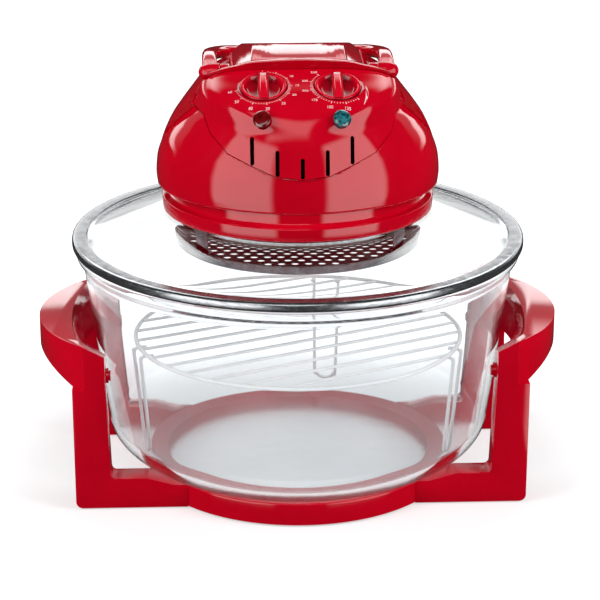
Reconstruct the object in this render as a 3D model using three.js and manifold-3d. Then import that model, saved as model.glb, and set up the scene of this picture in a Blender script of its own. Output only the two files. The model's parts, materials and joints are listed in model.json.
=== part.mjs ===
// Halogen oven: a glass bowl in a moulded stand with two crescent grips, under a glass lid that carries the
// heating head. Millimetres, +Z up, front towards -Y, origin on the table under the middle of the bowl.
import * as THREE from "three";
import { mergeVertices } from "three/addons/utils/BufferGeometryUtils.js";
import Module from "manifold-3d";

const wasm = await Module();
wasm.setup();

// Faces round a full turn
const roundFaces = 36;
const headFaces = 36;
const smallFaces = 10;
const boreFaces = 12;

// Fits and overruns
const gap = 0.3;
const looseGap = 0.8;
const overrun = 2;

// Bowl
const bowlNeckRadius = 160.3;
const bowlFlare = 15.5;
const bowlHeel = 63;
const bowlLipReach = 5.1;
const bowlWaistRadius = bowlNeckRadius - bowlFlare;
const bowlFloorRadius = bowlWaistRadius - bowlHeel;
const bowlLipRadius = bowlNeckRadius + bowlLipReach;
const bowlFloorHeight = 14.5;
const bowlWaistHeight = 51.3;
const bowlNeckHeight = 172;
const bowlLipRise = 11.3;
const bowlTop = bowlNeckHeight + bowlLipRise;
const bowlLipHeight = 6;
const bowlWall = 5;
const bowlRadiusAt = (z) => bowlWaistRadius + (bowlFlare * (z - bowlWaistHeight)) / (bowlNeckHeight - bowlWaistHeight);

// Stand
const ringOverhang = 33;
const ringWidth = 14.2;
const ringSeatWidth = 3;
const ringRadius = bowlFloorRadius + ringOverhang;
const ringInnerRadius = ringRadius - ringWidth;
const ringSeatRadius = ringInnerRadius + ringSeatWidth;
const ringWall = 2.4;
const ringLift = 1.2;
const ringHeight = 18.2;
const ringShoulder = 1.2;
const ringSeatHeight = 16.2;
const frameLift = 0.8;
const barTuck = 6.1;
const barInnerX = ringInnerRadius - barTuck;
const barHeight = 24;
const barEndHeight = 18.4;
const barRampX = ringRadius - ringWall / 3;
const barWall = 3;
const gripTop = 128;
const legFrontY = 78.5;
const legInnerY = 59.5;
const postWidth = 24;
const postClearance = 0.055;
const postInnerX = Math.sqrt(bowlRadiusAt(gripTop) ** 2 - legInnerY ** 2) + postClearance;
const postOuterX = postInnerX + postWidth;
const postLean = 2.2;
const barReachX = Math.sqrt(ringRadius ** 2 - legFrontY ** 2);
const footCornerRadius = 5;
const windowFillet = 4;
const tabReach = 12;
const tabOverlap = 7;
const tabThickness = 3;
const tabWidth = 12;
const gripHeight = 33.5;
const gripClearance = 5.2;
const gripWidth = 29;
const gripSweep = 36.5;
const gripBevelInset = 4.5;
const gripHoleRadius = bowlNeckRadius + gripClearance;
const gripReachX = gripHoleRadius + gripWidth;
const gripEndX = gripReachX - gripSweep;
const gripBevelX = gripHoleRadius + gripBevelInset;
const gripWall = 4;
const gripUnderslope = 0.48;
const gripBevelDraw = 11.5;
const nubRadius = 5.5;
const nubHeight = 100;
const nubY = 63.5;
const nubClearance = 0.44;
const nubFlank = nubY - 0.7 * nubRadius;
const nubTipX = Math.sqrt(bowlRadiusAt(nubHeight) ** 2 - nubFlank ** 2) + nubClearance;
const footRadius = 6.5;
const footHeight = 2.6;
const footInset = 12.8;
const footX = postOuterX - footInset;
const footY = (legFrontY + legInnerY) / 2;

// Rack
const rackInset = 22.4;
const rackRadius = bowlWaistRadius - rackInset;
const rackHeight = 112;
const rackRingWire = 1.6;
const rackWire = 1.2;
const rackLegWire = 1.4;
const rackWireCount = 11;
const rackWireMargin = 22.4;
const rackWirePitch = (2 * (rackRadius - rackWireMargin)) / (rackWireCount - 1);
const rackWireAngle = THREE.MathUtils.degToRad(27);
const rackLegAngles = [-23, 77, 197].map(THREE.MathUtils.degToRad);
const rackLegWidth = 20;
const rackLegInset = 3;
const rackLegRadius = rackRadius - rackLegInset;
const rackLegTurns = [-60, -30, 0, 30, 60].map(THREE.MathUtils.degToRad);
const rackLegFoot = 29.6;
const rackShoulderDrop = 7;

// Lid
const lidOverhang = 2.6;
const lidRadius = bowlLipRadius + lidOverhang;
const lidBandHeight = 7;
const lidTop = bowlTop + lidBandHeight + gap;
const lidBandWidth = 10.5;
const lidBandSheet = 0.8;
const lidGlass = 4.7;
const lidRise = 21.6;
const lidHoleRadius = 80;
const lidFlat = 10.86;
const crownMargin = 1.2;

// Head base
const flangeRadius = 100.2;
const headClearance = 0.5;
const flangeBottom = lidTop - lidBandSheet - gap + lidRise + headClearance;
const flangeHeight = 9.8;
const flangeLip = 1.6;
const skirtRadius = 93.2;
const skirtHeight = 18.3;
const skirtTop = flangeBottom + skirtHeight;
const skirtWall = 2.8;
const spigotRadius = 90.2;
const spigotHeight = 5;
const floorHoleRadius = 22;
const floorSheet = 2.4;

// Head shells
const domeBottom = skirtTop + gap;
const domeHeight = 89.8;
const domeHalfWidth = 104.3;
const domeFront = 93.5;
const shellWall = 2.6;
const domeLip = 3;
const domeSeatRadius = 90.8;
const plateauRise = 83.8;
const plateauHeight = domeBottom + plateauRise;
const splitLowY = 14;
const splitHighY = -32.5;
const panelBackRise = 75.8;
const panelBackHeight = domeBottom + panelBackRise;
const panelHalfWidth = 71;
const panelHeight = 72.4;
const panelTilt = THREE.MathUtils.degToRad(15.5);
const panelDrop = 1.03;
const panelBottom = domeBottom * Math.cos(panelTilt) - panelDrop;
const panelFlank = 1.1;
const panelSquaring = 1.3;
const flangeWidth = 2.4;

// Vents
const ventWidth = 2.8;
const ventPitch = 17.5;
const ventBridge = 1.2;
const ventTopShares = [0.208, 0.286, 0.421];
const ventBottomShares = [0.008, 0.036, 0.147];

// Dials
const dialX = 26.2;
const dialY = -53;
const dialRise = 81.7;
const dialHeight = domeBottom + dialRise;
const dialTilt = THREE.MathUtils.degToRad(21.5);
const knobRadius = 16.4;
const knobHeight = 7;
const knobDish = 4.6;
const knobRimWidth = 2.2;
const knobBarWidth = 8.6;
const knobBarRise = 1.2;
const knobStemRadius = 3;
const cupWall = 1.8;
const cupDepth = 6.4;
const timerWidth = 36;
const timerLength = 34;
const timerHeight = 22;

// Pilot lamps
const lampX = 27.6;
const lampY = -79.6;
const lampRise = 64.7;
const lampHeight = domeBottom + lampRise;
const lampRadius = 6.4;
const lampDepth = 9;
const lampCrown = 1.4;
const lampFlange = 1.1;
const lampTilt = THREE.MathUtils.degToRad(52);
const lampTurn = THREE.MathUtils.degToRad(17);

// Top cover
const humpInset = 54.3;
const humpHalfWidth = domeHalfWidth - humpInset;
const humpFront = -29;
const humpBack = 53;
const humpHeight = 13.7;
const humpWall = 2.4;
const visorReach = 16;
const visorHalfWidth = humpHalfWidth + visorReach;
const visorHeight = 12.8;

// Carry handle
const pivotInset = 7;
const pivotX = humpHalfWidth + pivotInset;
const pivotY = -20;
const pivotRise = 1.4;
const pivotHeight = plateauHeight + pivotRise;
const armRise = 5;
const armHeight = plateauHeight + armRise;
const hubRadius = 6.5;
const hubLength = 15;
const pinRadius = 2;
const pinInset = 1.5;
const pinRoot = humpHalfWidth + pinInset;
const handleWidth = 11;
const handleDepth = 9;
const handleArmX = pivotX + pivotInset;
const handleReach = 78;
const handleDrop = 7.5;
const handleLift = 2;
const lugRadius = 6;
const lugInset = 0.5;
const lugRoot = humpHalfWidth + lugInset;

// Heating chamber
const panRadius = 78;
const panDepth = 11.3;
const panTop = flangeBottom - gap;
const panBottom = panTop - panDepth;
const panSheet = 0.8;
const clampRadius = 91;
const clampSheet = 0.9;
const tubeRadius = 4.5;
const tubeRingRadius = 58;
const tubeDrop = 9.7;
const tubeHeight = panTop - tubeDrop;
const tubeOpening = 34.4;
const tubeSweep = 2 * Math.PI - tubeOpening / tubeRingRadius;
const tubeEndLength = 13;
const tubeEndWidth = 12;
const clipWidth = 7;
const clipThickness = 3;
const clipAngles = [40, 140, 200].map(THREE.MathUtils.degToRad);

// Guard
const guardRadius = 91.2;
const guardDrop = 28.1;
const guardRimBottom = panTop - guardDrop;
const guardRimHeight = 6.3;
const guardRimSheet = 1.1;
const guardRimLip = 3.6;
const guardPlateRadius = 89.6;
const guardSheet = 0.9;
const guardHoleRadius = 5.4;
const guardHolePitch = 18;
const guardMargin = 4;
const guardBracketAngles = [-35, 35, 145, 215].map(THREE.MathUtils.degToRad);
const guardBracketWidth = 14;
const guardBracketRadius = 86.6;
const guardBracketFoot = 7;
const guardBracketSheet = 1;

// Motor and fans
const shieldRadius = 86;
const shieldSheet = 0.8;
const shaftRadius = 2.5;
const shaftDrop = 8.9;
const shaftRise = 56.7;
const shaftBottom = panTop - shaftDrop;
const shaftTop = panTop + shaftRise;
const fanRadius = 34;
const fanHubRadius = 8;
const fanSheet = 0.9;
const fanBladeHeight = 5;
const fanBladeCount = 8;
const fanDrop = 8.3;
const fanBottom = panTop - fanDrop;
const coolerRadius = 37;
const coolerRise = 10.7;
const coolerBottom = panTop + coolerRise;
const coolerHeight = 9;
const coolerBladeCount = 5;
const coolerPitch = THREE.MathUtils.degToRad(32);
const bracketHalfWidth = 44;
const bracketRise = 28.7;
const bracketTop = panTop + bracketRise;
const bracketSheet = 1.5;
const bracketFoot = 10;
const bracketLength = 34;
const statorWidth = 62;
const statorFront = -20;
const statorBack = 38;
const statorStack = 20;
const statorBoreRadius = 9;
const statorLeg = 8;
const statorWindow = 8;
const rotorRadius = 8.4;
const coilLength = 34;
const coilBuild = 5.5;
const switchLength = 20;
const switchWidth = 10;
const switchHeight = 6.2;
const switchX = 26;
const glandRadius = 6;
const glandFlange = 8.6;
const glandBore = 3.6;
const glandRise = 13.8;
const glandHeight = domeBottom + glandRise;
const glandLength = 12;
const glandLip = 1.8;

// The head's outlines, from the skirt up: share of the height, then of the half width and the front depth
const coverShares = [
  [0, 0.992, 1], [0.087, 1, 0.998], [0.2, 0.993, 0.99], [0.354, 0.954, 0.96], [0.532, 0.844, 0.924],
  [0.66, 0.74, 0.88], [0.75, 0.683, 0.826], [0.833, 0.647, 0.735], [0.944, 0.585, 0.468], [1, 0.537, 0.33],
];
const panelShares = [
  [0.087, 1.016, 1.015], [0.2, 1.009, 1.007], [0.354, 0.97, 0.978], [0.532, 0.86, 0.941],
  [0.66, 0.768, 0.898], [0.75, 0.722, 0.845], [0.833, 0.7, 0.754], [0.944, 0.652, 0.487], [1, 0.6, 0.348],
];
const rearShares = [
  [0, 0.983, 1.074], [0.087, 0.99, 1.083], [0.2, 0.987, 1.079], [0.354, 0.954, 1.043], [0.532, 0.887, 0.97],
  [0.66, 0.812, 0.888], [0.75, 0.75, 0.82], [0.833, 0.69, 0.755], [0.944, 0.561, 0.613], [1, 0.46, 0.503],
];
// Half of the panel's shield outline, bottom to top: shares of its half width and height.
const shieldShares = [[0, 0], [0.268, 0.036], [0.507, 0.147], [0.732, 0.267], [0.901, 0.468], [0.965, 0.652]];

// Half of the visor's brow, from its end to the middle: shares of its half width and height
const visorShares = [[1, 0.12], [0.97, 0.24], [0.83, 0.47], [0.7, 0.63], [0.53, 0.85], [0.26, 0.95], [0, 1]];

// The handle's hub from its inner face to its domed end: shares of its length and radius
const hubCapShares = [[0, 1], [0.4, 1], [0.6, 0.96], [0.78, 0.83], [0.91, 0.6], [0.98, 0.3]];

// The lid glass between its flat edge and its flat crown: share of the width, then of the rise
const domeShares = [[1, 0], [0.907, 0.09], [0.514, 0.535], [0.149, 0.91], [0, 1]];

// Finishes
const finishes = {
  red: { color: 0xc4061f, roughness: 0.22, metalness: 0 },
  glass: { color: 0xdfe8ea, roughness: 0.03, metalness: 0, transparent: true, opacity: 0.3 },
  steel: { color: 0xb9bcc0, roughness: 0.25, metalness: 1 },
  darkSteel: { color: 0x4a4643, roughness: 0.5, metalness: 0.8 },
  quartz: { color: 0xf2efe6, roughness: 0.15, metalness: 0 },
  ceramic: { color: 0xe8e2d4, roughness: 0.7, metalness: 0 },
  rubber: { color: 0x1c1c1e, roughness: 0.9, metalness: 0 },
  whitePlastic: { color: 0xe6e4dc, roughness: 0.5, metalness: 0 },
  blackPlastic: { color: 0x202124, roughness: 0.5, metalness: 0 },
  copper: { color: 0xb0562c, roughness: 0.35, metalness: 1 },
  redLens: { color: 0x7d0408, roughness: 0.1, metalness: 0 },
  greenLens: { color: 0x1d8a86, roughness: 0.1, metalness: 0 },
};

const oven = new THREE.Group();

// Solids and meshes

function outward(geometry) {
  const plain = geometry.clone();
  for (const name of Object.keys(plain.attributes)) {
    if (name !== "position") plain.deleteAttribute(name);
  }
  const merged = mergeVertices(plain);
  const index = merged.index.array;
  const corners = [new THREE.Vector3(), new THREE.Vector3(), new THREE.Vector3()];
  let volume = 0;
  for (let i = 0; i < index.length; i += 3) {
    corners.forEach((corner, k) => corner.fromBufferAttribute(merged.attributes.position, index[i + k]));
    volume += corners[0].dot(corners[1].cross(corners[2]));
  }
  if (volume < 0) {
    for (let i = 0; i < index.length; i += 3) [index[i], index[i + 1]] = [index[i + 1], index[i]];
  }
  return merged;
}

function solidOf(geometry) {
  const closed = outward(geometry);
  return new wasm.Manifold(new wasm.Mesh({
    numProp: 3,
    vertProperties: Float32Array.from(closed.attributes.position.array),
    triVerts: Uint32Array.from(closed.index.array),
  }));
}

function geometryOf(solid) {
  const mesh = solid.getMesh();
  const geometry = new THREE.BufferGeometry();
  geometry.setAttribute("position", new THREE.BufferAttribute(Float32Array.from(mesh.vertProperties), 3));
  geometry.setIndex(new THREE.BufferAttribute(Uint32Array.from(mesh.triVerts), 1));
  geometry.computeVertexNormals();
  return geometry;
}

function addPiece(name, solid, finish) {
  const mesh = new THREE.Mesh(geometryOf(solid), new THREE.MeshStandardMaterial(finishes[finish]));
  mesh.name = name;
  oven.add(mesh);
  return solid;
}

const joined = (solids) => solids.reduce((all, solid) => all.add(solid));

// Profiles turned about Z, given as [radius, height]; one that leaves the axis free is closed on itself
function turned(profile, faces = roundFaces) {
  const points = profile.map(([r, z]) => new THREE.Vector2(r, z));
  if (profile[0][0] > 0) points.push(points[0].clone());
  return solidOf(new THREE.LatheGeometry(points, faces).rotateX(Math.PI / 2));
}

// Outlines drawn out along one axis
function drawn(outline, basis, from, to, holes = []) {
  const shape = new THREE.Shape(outline.map(([u, v]) => new THREE.Vector2(u, v)));
  holes.forEach((hole) => shape.holes.push(new THREE.Path(hole.map(([u, v]) => new THREE.Vector2(u, v)))));
  const geometry = new THREE.ExtrudeGeometry(shape, { depth: to - from, bevelEnabled: false });
  return solidOf(geometry.translate(0, 0, from).applyMatrix4(basis));
}

const axes = {
  x: new THREE.Vector3(1, 0, 0),
  y: new THREE.Vector3(0, 1, 0),
  z: new THREE.Vector3(0, 0, 1),
};
const alongX = new THREE.Matrix4().makeBasis(axes.y, axes.z, axes.x);
const alongY = new THREE.Matrix4().makeBasis(axes.x.clone().negate(), axes.z, axes.y);
const alongZ = new THREE.Matrix4();

const mirrorOutline = (outline) => outline.map(([u, v]) => [-u, v]);

function block(low, high) {
  const size = high.map((value, k) => value - low[k]);
  const middle = high.map((value, k) => (value + low[k]) / 2);
  return solidOf(new THREE.BoxGeometry(...size).translate(...middle));
}

// A round bar from one point to another
function bar(from, to, radius, faces = smallFaces) {
  const start = new THREE.Vector3(...from);
  const run = new THREE.Vector3(...to).sub(start);
  const geometry = new THREE.CylinderGeometry(radius, radius, run.length(), faces);
  geometry.applyQuaternion(new THREE.Quaternion().setFromUnitVectors(axes.y, run.clone().normalize()));
  return solidOf(geometry.translate(...start.addScaledVector(run, 1 / 2).toArray()));
}

// A skin over a stack of rings with equal counts of points, closed by a fan at each end
function lofted(rings) {
  const count = rings[0].length;
  const positions = rings.flat().flat();
  const index = [];
  for (let k = 0; k + 1 < rings.length; k += 1) {
    for (let i = 0; i < count; i += 1) {
      const a = k * count + i;
      const b = k * count + (i + 1) % count;
      index.push(a, b, b + count, a, b + count, a + count);
    }
  }
  for (const [ring, first] of [[rings[0], 0], [rings.at(-1), (rings.length - 1) * count]]) {
    const hub = positions.length / 3;
    positions.push(...[0, 1, 2].map((axis) => ring.reduce((sum, point) => sum + point[axis], 0) / count));
    for (let i = 0; i < count; i += 1) {
      const a = first + i;
      const b = first + (i + 1) % count;
      index.push(...(first ? [a, b, hub] : [b, a, hub]));
    }
  }
  const geometry = new THREE.BufferGeometry();
  geometry.setAttribute("position", new THREE.Float32BufferAttribute(positions, 3));
  geometry.setIndex(index);
  return solidOf(geometry);
}

// A sheet-metal strip: a bent line given a thickness to its left
function strip(line, thickness) {
  const edge = line.map((point, k) => {
    const normals = [];
    for (const [a, b] of [[line[k - 1], point], [point, line[k + 1]]]) {
      if (!a || !b) continue;
      const length = Math.hypot(b[0] - a[0], b[1] - a[1]);
      normals.push([(a[1] - b[1]) / length, (b[0] - a[0]) / length]);
    }
    const [n, m] = [normals[0], normals.at(-1)];
    const share = thickness / (1 + n[0] * m[0] + n[1] * m[1]);
    return [point[0] + share * (n[0] + m[0]), point[1] + share * (n[1] + m[1])];
  });
  return [...line, ...edge.reverse()];
}

function arc(centre, radius, from, to, steps) {
  return Array.from({ length: steps + 1 }, (_, k) => {
    const angle = from + ((to - from) * k) / steps;
    return [centre[0] + radius * Math.cos(angle), centre[1] + radius * Math.sin(angle)];
  });
}

const circle = (radius, faces, centre = [0, 0]) => arc(centre, radius, 0, 2 * Math.PI, faces).slice(0, -1);

const moved = (solid, x, y, z) => solid.translate([x, y, z]);
const spun = (solid, angle) => solid.rotate([0, 0, THREE.MathUtils.radToDeg(angle)]);

// Stand: a channel ring, four legs on bars, and a hollow crescent grip on each side

const tabLevel = [frameLift, frameLift + tabThickness];
const tabY = (legFrontY + legInnerY) / 2;

function tabBlock(side, end, room) {
  const x = [(barInnerX - tabReach - room) * side, (barInnerX + tabOverlap) * side].sort((a, b) => a - b);
  const y = [end * tabY - tabWidth / 2 - room, end * tabY + tabWidth / 2 + room];
  return block([x[0], y[0], tabLevel[0] - room * overrun], [x[1], y[1], tabLevel[1] + room]);
}

function makeBaseRing() {
  const deckDrop = ringWall;
  let ring = turned([
    [ringRadius - ringWall, ringLift], [ringRadius, ringLift], [ringRadius, ringHeight - ringShoulder],
    [ringRadius - ringShoulder, ringHeight], [ringSeatRadius, ringSeatHeight], [ringInnerRadius, ringSeatHeight],
    [ringInnerRadius, ringLift], [ringInnerRadius + ringWall, ringLift],
    [ringInnerRadius + ringWall, ringSeatHeight - deckDrop], [ringRadius - ringWall, ringSeatHeight - deckDrop / 2],
  ]);
  for (const side of [-1, 1]) {
    for (const end of [-1, 1]) ring = ring.subtract(tabBlock(side, end, gap));
  }
  return addPiece("base_ring", ring, "red");
}

const gripArcRadius = (legFrontY ** 2 + (gripReachX - gripEndX) ** 2) / (2 * (gripReachX - gripEndX));

function gripOutline(inset) {
  const half = legFrontY - (inset ? legFrontY - legInnerY + inset : 0);
  const centre = [gripReachX - gripArcRadius, 0];
  const outerRadius = gripArcRadius - inset;
  const outerTurn = Math.asin(half / outerRadius);
  const outer = arc(centre, outerRadius, -outerTurn, outerTurn, inset ? 10 : 14);
  const innerRadius = gripHoleRadius + inset;
  const innerTurn = Math.asin(Math.min(half, legInnerY) / innerRadius);
  const inner = arc([0, 0], innerRadius, innerTurn, -innerTurn, inset ? 6 : 10);
  if (inset) return [...outer, ...inner];
  return [...outer, [postInnerX, half], [postInnerX, legInnerY], ...inner, [postInnerX, -legInnerY], [postInnerX, -half]];
}

// The slope that falls from the grip's flat top to its inner edge, steep at the middle and easy at the legs
function gripSlope() {
  const steepShares = [0.53, 1.3];
  const rings = [];
  for (let k = -5; k <= 5; k += 1) {
    const share = k / 5;
    const y = share * (legFrontY + overrun);
    const x = gripBevelX - gripBevelDraw * share ** 2;
    const fall = steepShares[1] + (steepShares[0] - steepShares[1]) * Math.abs(share);
    const low = x - 2 * gripHeight;
    rings.push([
      [x, y, gripTop], [x, y, gripTop + gripHeight], [low, y, gripTop + gripHeight],
      [low, y, gripTop - fall * (x - low)],
    ]);
  }
  return lofted(rings);
}

function legProfile() {
  const corner = arc(
    [postOuterX - footCornerRadius, frameLift + footCornerRadius], footCornerRadius, -Math.PI / 2, 0, 4);
  const postFootX = postInnerX - postLean;
  const fillet = arc([postFootX - windowFillet, barHeight + windowFillet], windowFillet, 0, -Math.PI / 2, 4);
  const postTop = gripTop - gripHeight;
  return [[barReachX, frameLift], ...corner, [postOuterX, postTop], [postInnerX, postTop], ...fillet,
    [barRampX, barHeight], [barInnerX, barEndHeight], [barReachX, barEndHeight]];
}

const barHollow = [
  [barInnerX + barWall, -overrun], [postInnerX - barWall, -overrun], [postInnerX - barWall, barHeight - barWall],
  [barRampX, barHeight - barWall], [barInnerX + barWall, barEndHeight - barWall],
];

function makeFrame(side, name) {
  const turn = (outline) => (side > 0 ? outline : mirrorOutline(outline));
  const flip = (solid) => (side > 0 ? solid : solid.mirror([1, 0, 0]));
  const grip = drawn(gripOutline(0), alongZ, gripTop - gripHeight, gripTop);
  const hollow = drawn(gripOutline(gripWall), alongZ, gripTop - gripHeight - overrun, gripTop - gripWall);
  const underside = drawn(mirrorOutline([
    [postOuterX, gripTop - gripHeight], [postOuterX + gripHeight, gripTop - gripHeight + gripUnderslope * gripHeight],
    [postOuterX + gripHeight, gripTop - 2 * gripHeight], [postOuterX, gripTop - 2 * gripHeight],
  ]), alongY, -2 * legFrontY, 2 * legFrontY);
  let frame = grip.subtract(hollow).subtract(gripSlope()).subtract(underside);
  for (const end of [-1, 1]) {
    const y = [end * legInnerY, end * legFrontY].sort((a, b) => a - b);
    const leg = drawn(mirrorOutline(legProfile()), alongY, y[0], y[1]);
    const hollowBar = drawn(mirrorOutline(barHollow), alongY, y[0] + barWall, y[1] - barWall);
    const nub = bar([postInnerX + overrun, end * nubY, nubHeight], [nubTipX + nubRadius / 2, end * nubY, nubHeight],
      nubRadius);
    const tip = bar([nubTipX + nubRadius, end * nubY, nubHeight], [nubTipX, end * nubY, nubHeight],
      nubRadius * 0.7);
    const seat = moved(bar([0, 0, -overrun], [0, 0, footHeight + gap - frameLift], footRadius + gap, boreFaces),
      footX, end * footY, frameLift);
    frame = frame.add(leg.subtract(hollowBar)).add(nub).add(tip).subtract(seat);
  }
  frame = frame.subtract(bar([0, 0, -overrun], [0, 0, barHeight + overrun], ringRadius + gap, 2 * roundFaces));
  return addPiece(name, flip(joined([frame, tabBlock(1, -1, 0), tabBlock(1, 1, 0)])), "red");
}

function makeFeet() {
  let count = 0;
  for (const side of [-1, 1]) {
    for (const end of [-1, 1]) {
      count += 1;
      const foot = bar([side * footX, end * footY, 0], [side * footX, end * footY, footHeight], footRadius, boreFaces);
      addPiece(`foot_${count}`, foot, "rubber");
    }
  }
}

// Bowl: a drawn-in floor, a round heel, a flaring wall and a thick lip

const heelRadial = bowlWaistRadius - bowlFloorRadius;
const heelRise = bowlWaistHeight - bowlFloorHeight;

function makeBowl() {
  const heelSteps = 5;
  const outer = [];
  const inner = [];
  for (let k = 0; k <= heelSteps; k += 1) {
    const angle = (k / heelSteps) * (Math.PI / 2);
    const [c, s] = [Math.cos(angle), Math.sin(angle)];
    const normal = new THREE.Vector2(s / heelRadial, -c / heelRise).normalize();
    const point = [bowlFloorRadius + heelRadial * s, bowlWaistHeight - heelRise * c];
    outer.push(point);
    inner.push([point[0] - bowlWall * normal.x, point[1] - bowlWall * normal.y]);
  }
  const lipBottom = bowlTop - bowlLipHeight;
  const innerTop = [bowlNeckRadius - bowlWall, bowlNeckHeight];
  return addPiece("glass_bowl", turned([
    [0, bowlFloorHeight], ...outer, [bowlNeckRadius, bowlNeckHeight], [bowlLipRadius, lipBottom],
    [bowlLipRadius, bowlTop - bowlLipHeight / 4], [bowlLipRadius - bowlLipHeight / 4, bowlTop],
    [bowlNeckRadius - bowlWall / 2, bowlTop], innerTop, ...inner.reverse(), [0, bowlFloorHeight + bowlWall],
  ]), "glass");
}

// Rack: a wire ring with parallel wires, on three bent wire legs

function makeRack() {
  const ring = solidOf(new THREE.TorusGeometry(rackRadius, rackRingWire, 6, roundFaces).translate(0, 0, rackHeight));
  const along = [Math.cos(rackWireAngle), Math.sin(rackWireAngle)];
  const across = [-along[1], along[0]];
  const wires = [];
  for (let k = 0; k < rackWireCount; k += 1) {
    const offset = (k - (rackWireCount - 1) / 2) * rackWirePitch;
    const half = Math.sqrt(rackRadius ** 2 - offset ** 2);
    const end = (way) => [
      across[0] * offset + way * along[0] * half, across[1] * offset + way * along[1] * half, rackHeight];
    wires.push(bar(end(-1), end(1), rackWire, 6));
  }
  addPiece("rack_grid", joined([ring, ...wires]), "steel");
  rackLegAngles.forEach((angle, k) => addPiece(`rack_leg_${k + 1}`, rackLeg(angle), "steel"));
}

function rackLeg(angle) {
  const top = rackHeight - rackRingWire - rackLegWire + 2 * gap;
  const half = rackLegWidth / 2;
  const bend = half - rackLegWire;
  const side = (way) => [
    [rackRadius - rackShoulderDrop, way * half, top], [rackRadius, way * half, top],
    [rackRadius + rackShoulderDrop / 3, way * half, top - rackShoulderDrop / 3],
    [rackRadius + rackShoulderDrop / 3, way * half, top - rackShoulderDrop],
    [rackLegRadius, way * bend, rackLegFoot + bend],
  ];
  const foot = rackLegTurns.map((turn) => [
    rackLegRadius, bend * Math.sin(turn), rackLegFoot + bend * (1 - Math.cos(turn))]);
  const route = [...side(-1), ...foot, ...side(1).reverse()];
  const wire = new THREE.CatmullRomCurve3(route.map((point) => new THREE.Vector3(...point)), false, "centripetal");
  const section = new THREE.Shape(circle(rackLegWire, 6).map(([u, v]) => new THREE.Vector2(u, v)));
  const tube = new THREE.ExtrudeGeometry(section, { steps: 22, bevelEnabled: false, extrudePath: wire });
  return spun(solidOf(tube), angle);
}

// Lid: a shallow glass dome in a rolled steel band

const glassEdge = lidRadius - lidBandSheet - gap;
const glassRimTop = lidTop - lidBandSheet - gap;
const glassCrown = glassRimTop + lidRise;

function makeLid() {
  const flatEdge = glassEdge - lidFlat;
  const crownEdge = clampRadius + crownMargin;
  const dome = domeShares.map(([out, up]) => [crownEdge + (flatEdge - crownEdge) * out, glassRimTop + lidRise * up]);
  const top = [[glassEdge, glassRimTop], ...dome, [lidHoleRadius, glassCrown]];
  const bottom = top.filter((point, k) => k !== 1).map(([r, z]) => [r, z - lidGlass]).reverse();
  addPiece("lid_glass", turned([...top, ...bottom]), "glass");
  const bandBottom = lidTop - lidBandHeight;
  const band = strip([
    [lidRadius - lidBandWidth, lidTop], [lidRadius - lidBandSheet, lidTop], [lidRadius, lidTop - lidBandSheet],
    [lidRadius, bandBottom], [lidRadius - lidBandWidth * 0.7, bandBottom],
  ], -lidBandSheet);
  return addPiece("lid_rim", turned(band), "steel");
}

// Head base: flange, skirt and the spigot that the shells sit over

function makeHeadBase() {
  const flangeTop = flangeBottom + flangeHeight;
  return addPiece("head_base", turned([
    [floorHoleRadius, flangeBottom], [flangeRadius - flangeLip, flangeBottom],
    [flangeRadius, flangeBottom + flangeLip], [flangeRadius, flangeTop - flangeLip],
    [flangeRadius - flangeLip, flangeTop], [skirtRadius + flangeLip, flangeTop],
    [skirtRadius, flangeTop + flangeLip], [skirtRadius, skirtTop], [spigotRadius, skirtTop],
    [spigotRadius, skirtTop + spigotHeight], [spigotRadius - skirtWall, skirtTop + spigotHeight],
    [spigotRadius - skirtWall, flangeBottom + floorSheet], [floorHoleRadius, flangeBottom + floorSheet],
  ]), "red");
}

// Head shells: lofted outlines, hollowed, then parted along a slanted plane and a shield outline

const domeTop = domeBottom + domeHeight;

function domeRing(row, inset, low, squaring) {
  const [heightShare, sideShare, frontShare] = row;
  const fold = THREE.MathUtils.smoothstep(heightShare, 0.62, 0.86);
  const z = Math.max(domeBottom + domeHeight * heightShare - inset * fold, low);
  const trim = inset * (1 - 0.6 * fold);
  const side = domeHalfWidth * sideShare - trim;
  const front = domeFront * frontShare - trim;
  const square = 2 + squaring * THREE.MathUtils.smoothstep(heightShare, 0.6, 0.9);
  return Array.from({ length: headFaces }, (_, i) => {
    const angle = (2 * Math.PI * i) / headFaces;
    const [c, s] = [Math.cos(angle), Math.sin(angle)];
    const bulge = (Math.abs(c) ** square + Math.abs(s) ** square) ** (-1 / square);
    return [side * bulge * c, front * bulge * s, z];
  });
}

const domeSolid = (rows, inset, squaring = 0.5) => lofted(rows.map((row) => (
  domeRing(row, inset, inset ? domeBottom + domeLip : 0, squaring))));

const splitRun = (splitHighY - splitLowY) / domeHeight;
const splitAt = (z) => splitLowY + splitRun * (z - domeBottom);

function halfSpace(front, clearance) {
  const [low, high] = [domeBottom - domeHeight, domeTop + domeHeight];
  const edge = front ? -clearance : clearance;
  const far = (front ? -2 : 2) * domeHalfWidth;
  return drawn([[splitAt(low) + edge, low], [splitAt(high) + edge, high], [far, high], [far, low]], alongX,
    -2 * domeHalfWidth, 2 * domeHalfWidth);
}

const panelAxis = new THREE.Vector3(0, -Math.cos(panelTilt), Math.sin(panelTilt));
const panelRise = new THREE.Vector3(0, Math.sin(panelTilt), Math.cos(panelTilt));
const alongPanel = new THREE.Matrix4().makeBasis(axes.x, panelRise, panelAxis);
const panelReach = [domeFront * 0.2, domeFront * 2.6];

function shieldPrism(room) {
  const half = shieldShares.map(([across, up]) => [
    across * panelHalfWidth + (across ? room : 0), panelBottom + up * panelHeight - room]);
  const shoulder = panelBottom + 0.8 * panelHeight;
  half.push([panelHalfWidth * panelFlank + room, shoulder - room]);
  half.push([panelHalfWidth * panelFlank + room, panelBottom + panelHeight * 1.3]);
  const mirrored = mirrorOutline(half.slice(1)).reverse();
  return drawn([...half, ...mirrored], alongPanel, ...panelReach);
}

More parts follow.
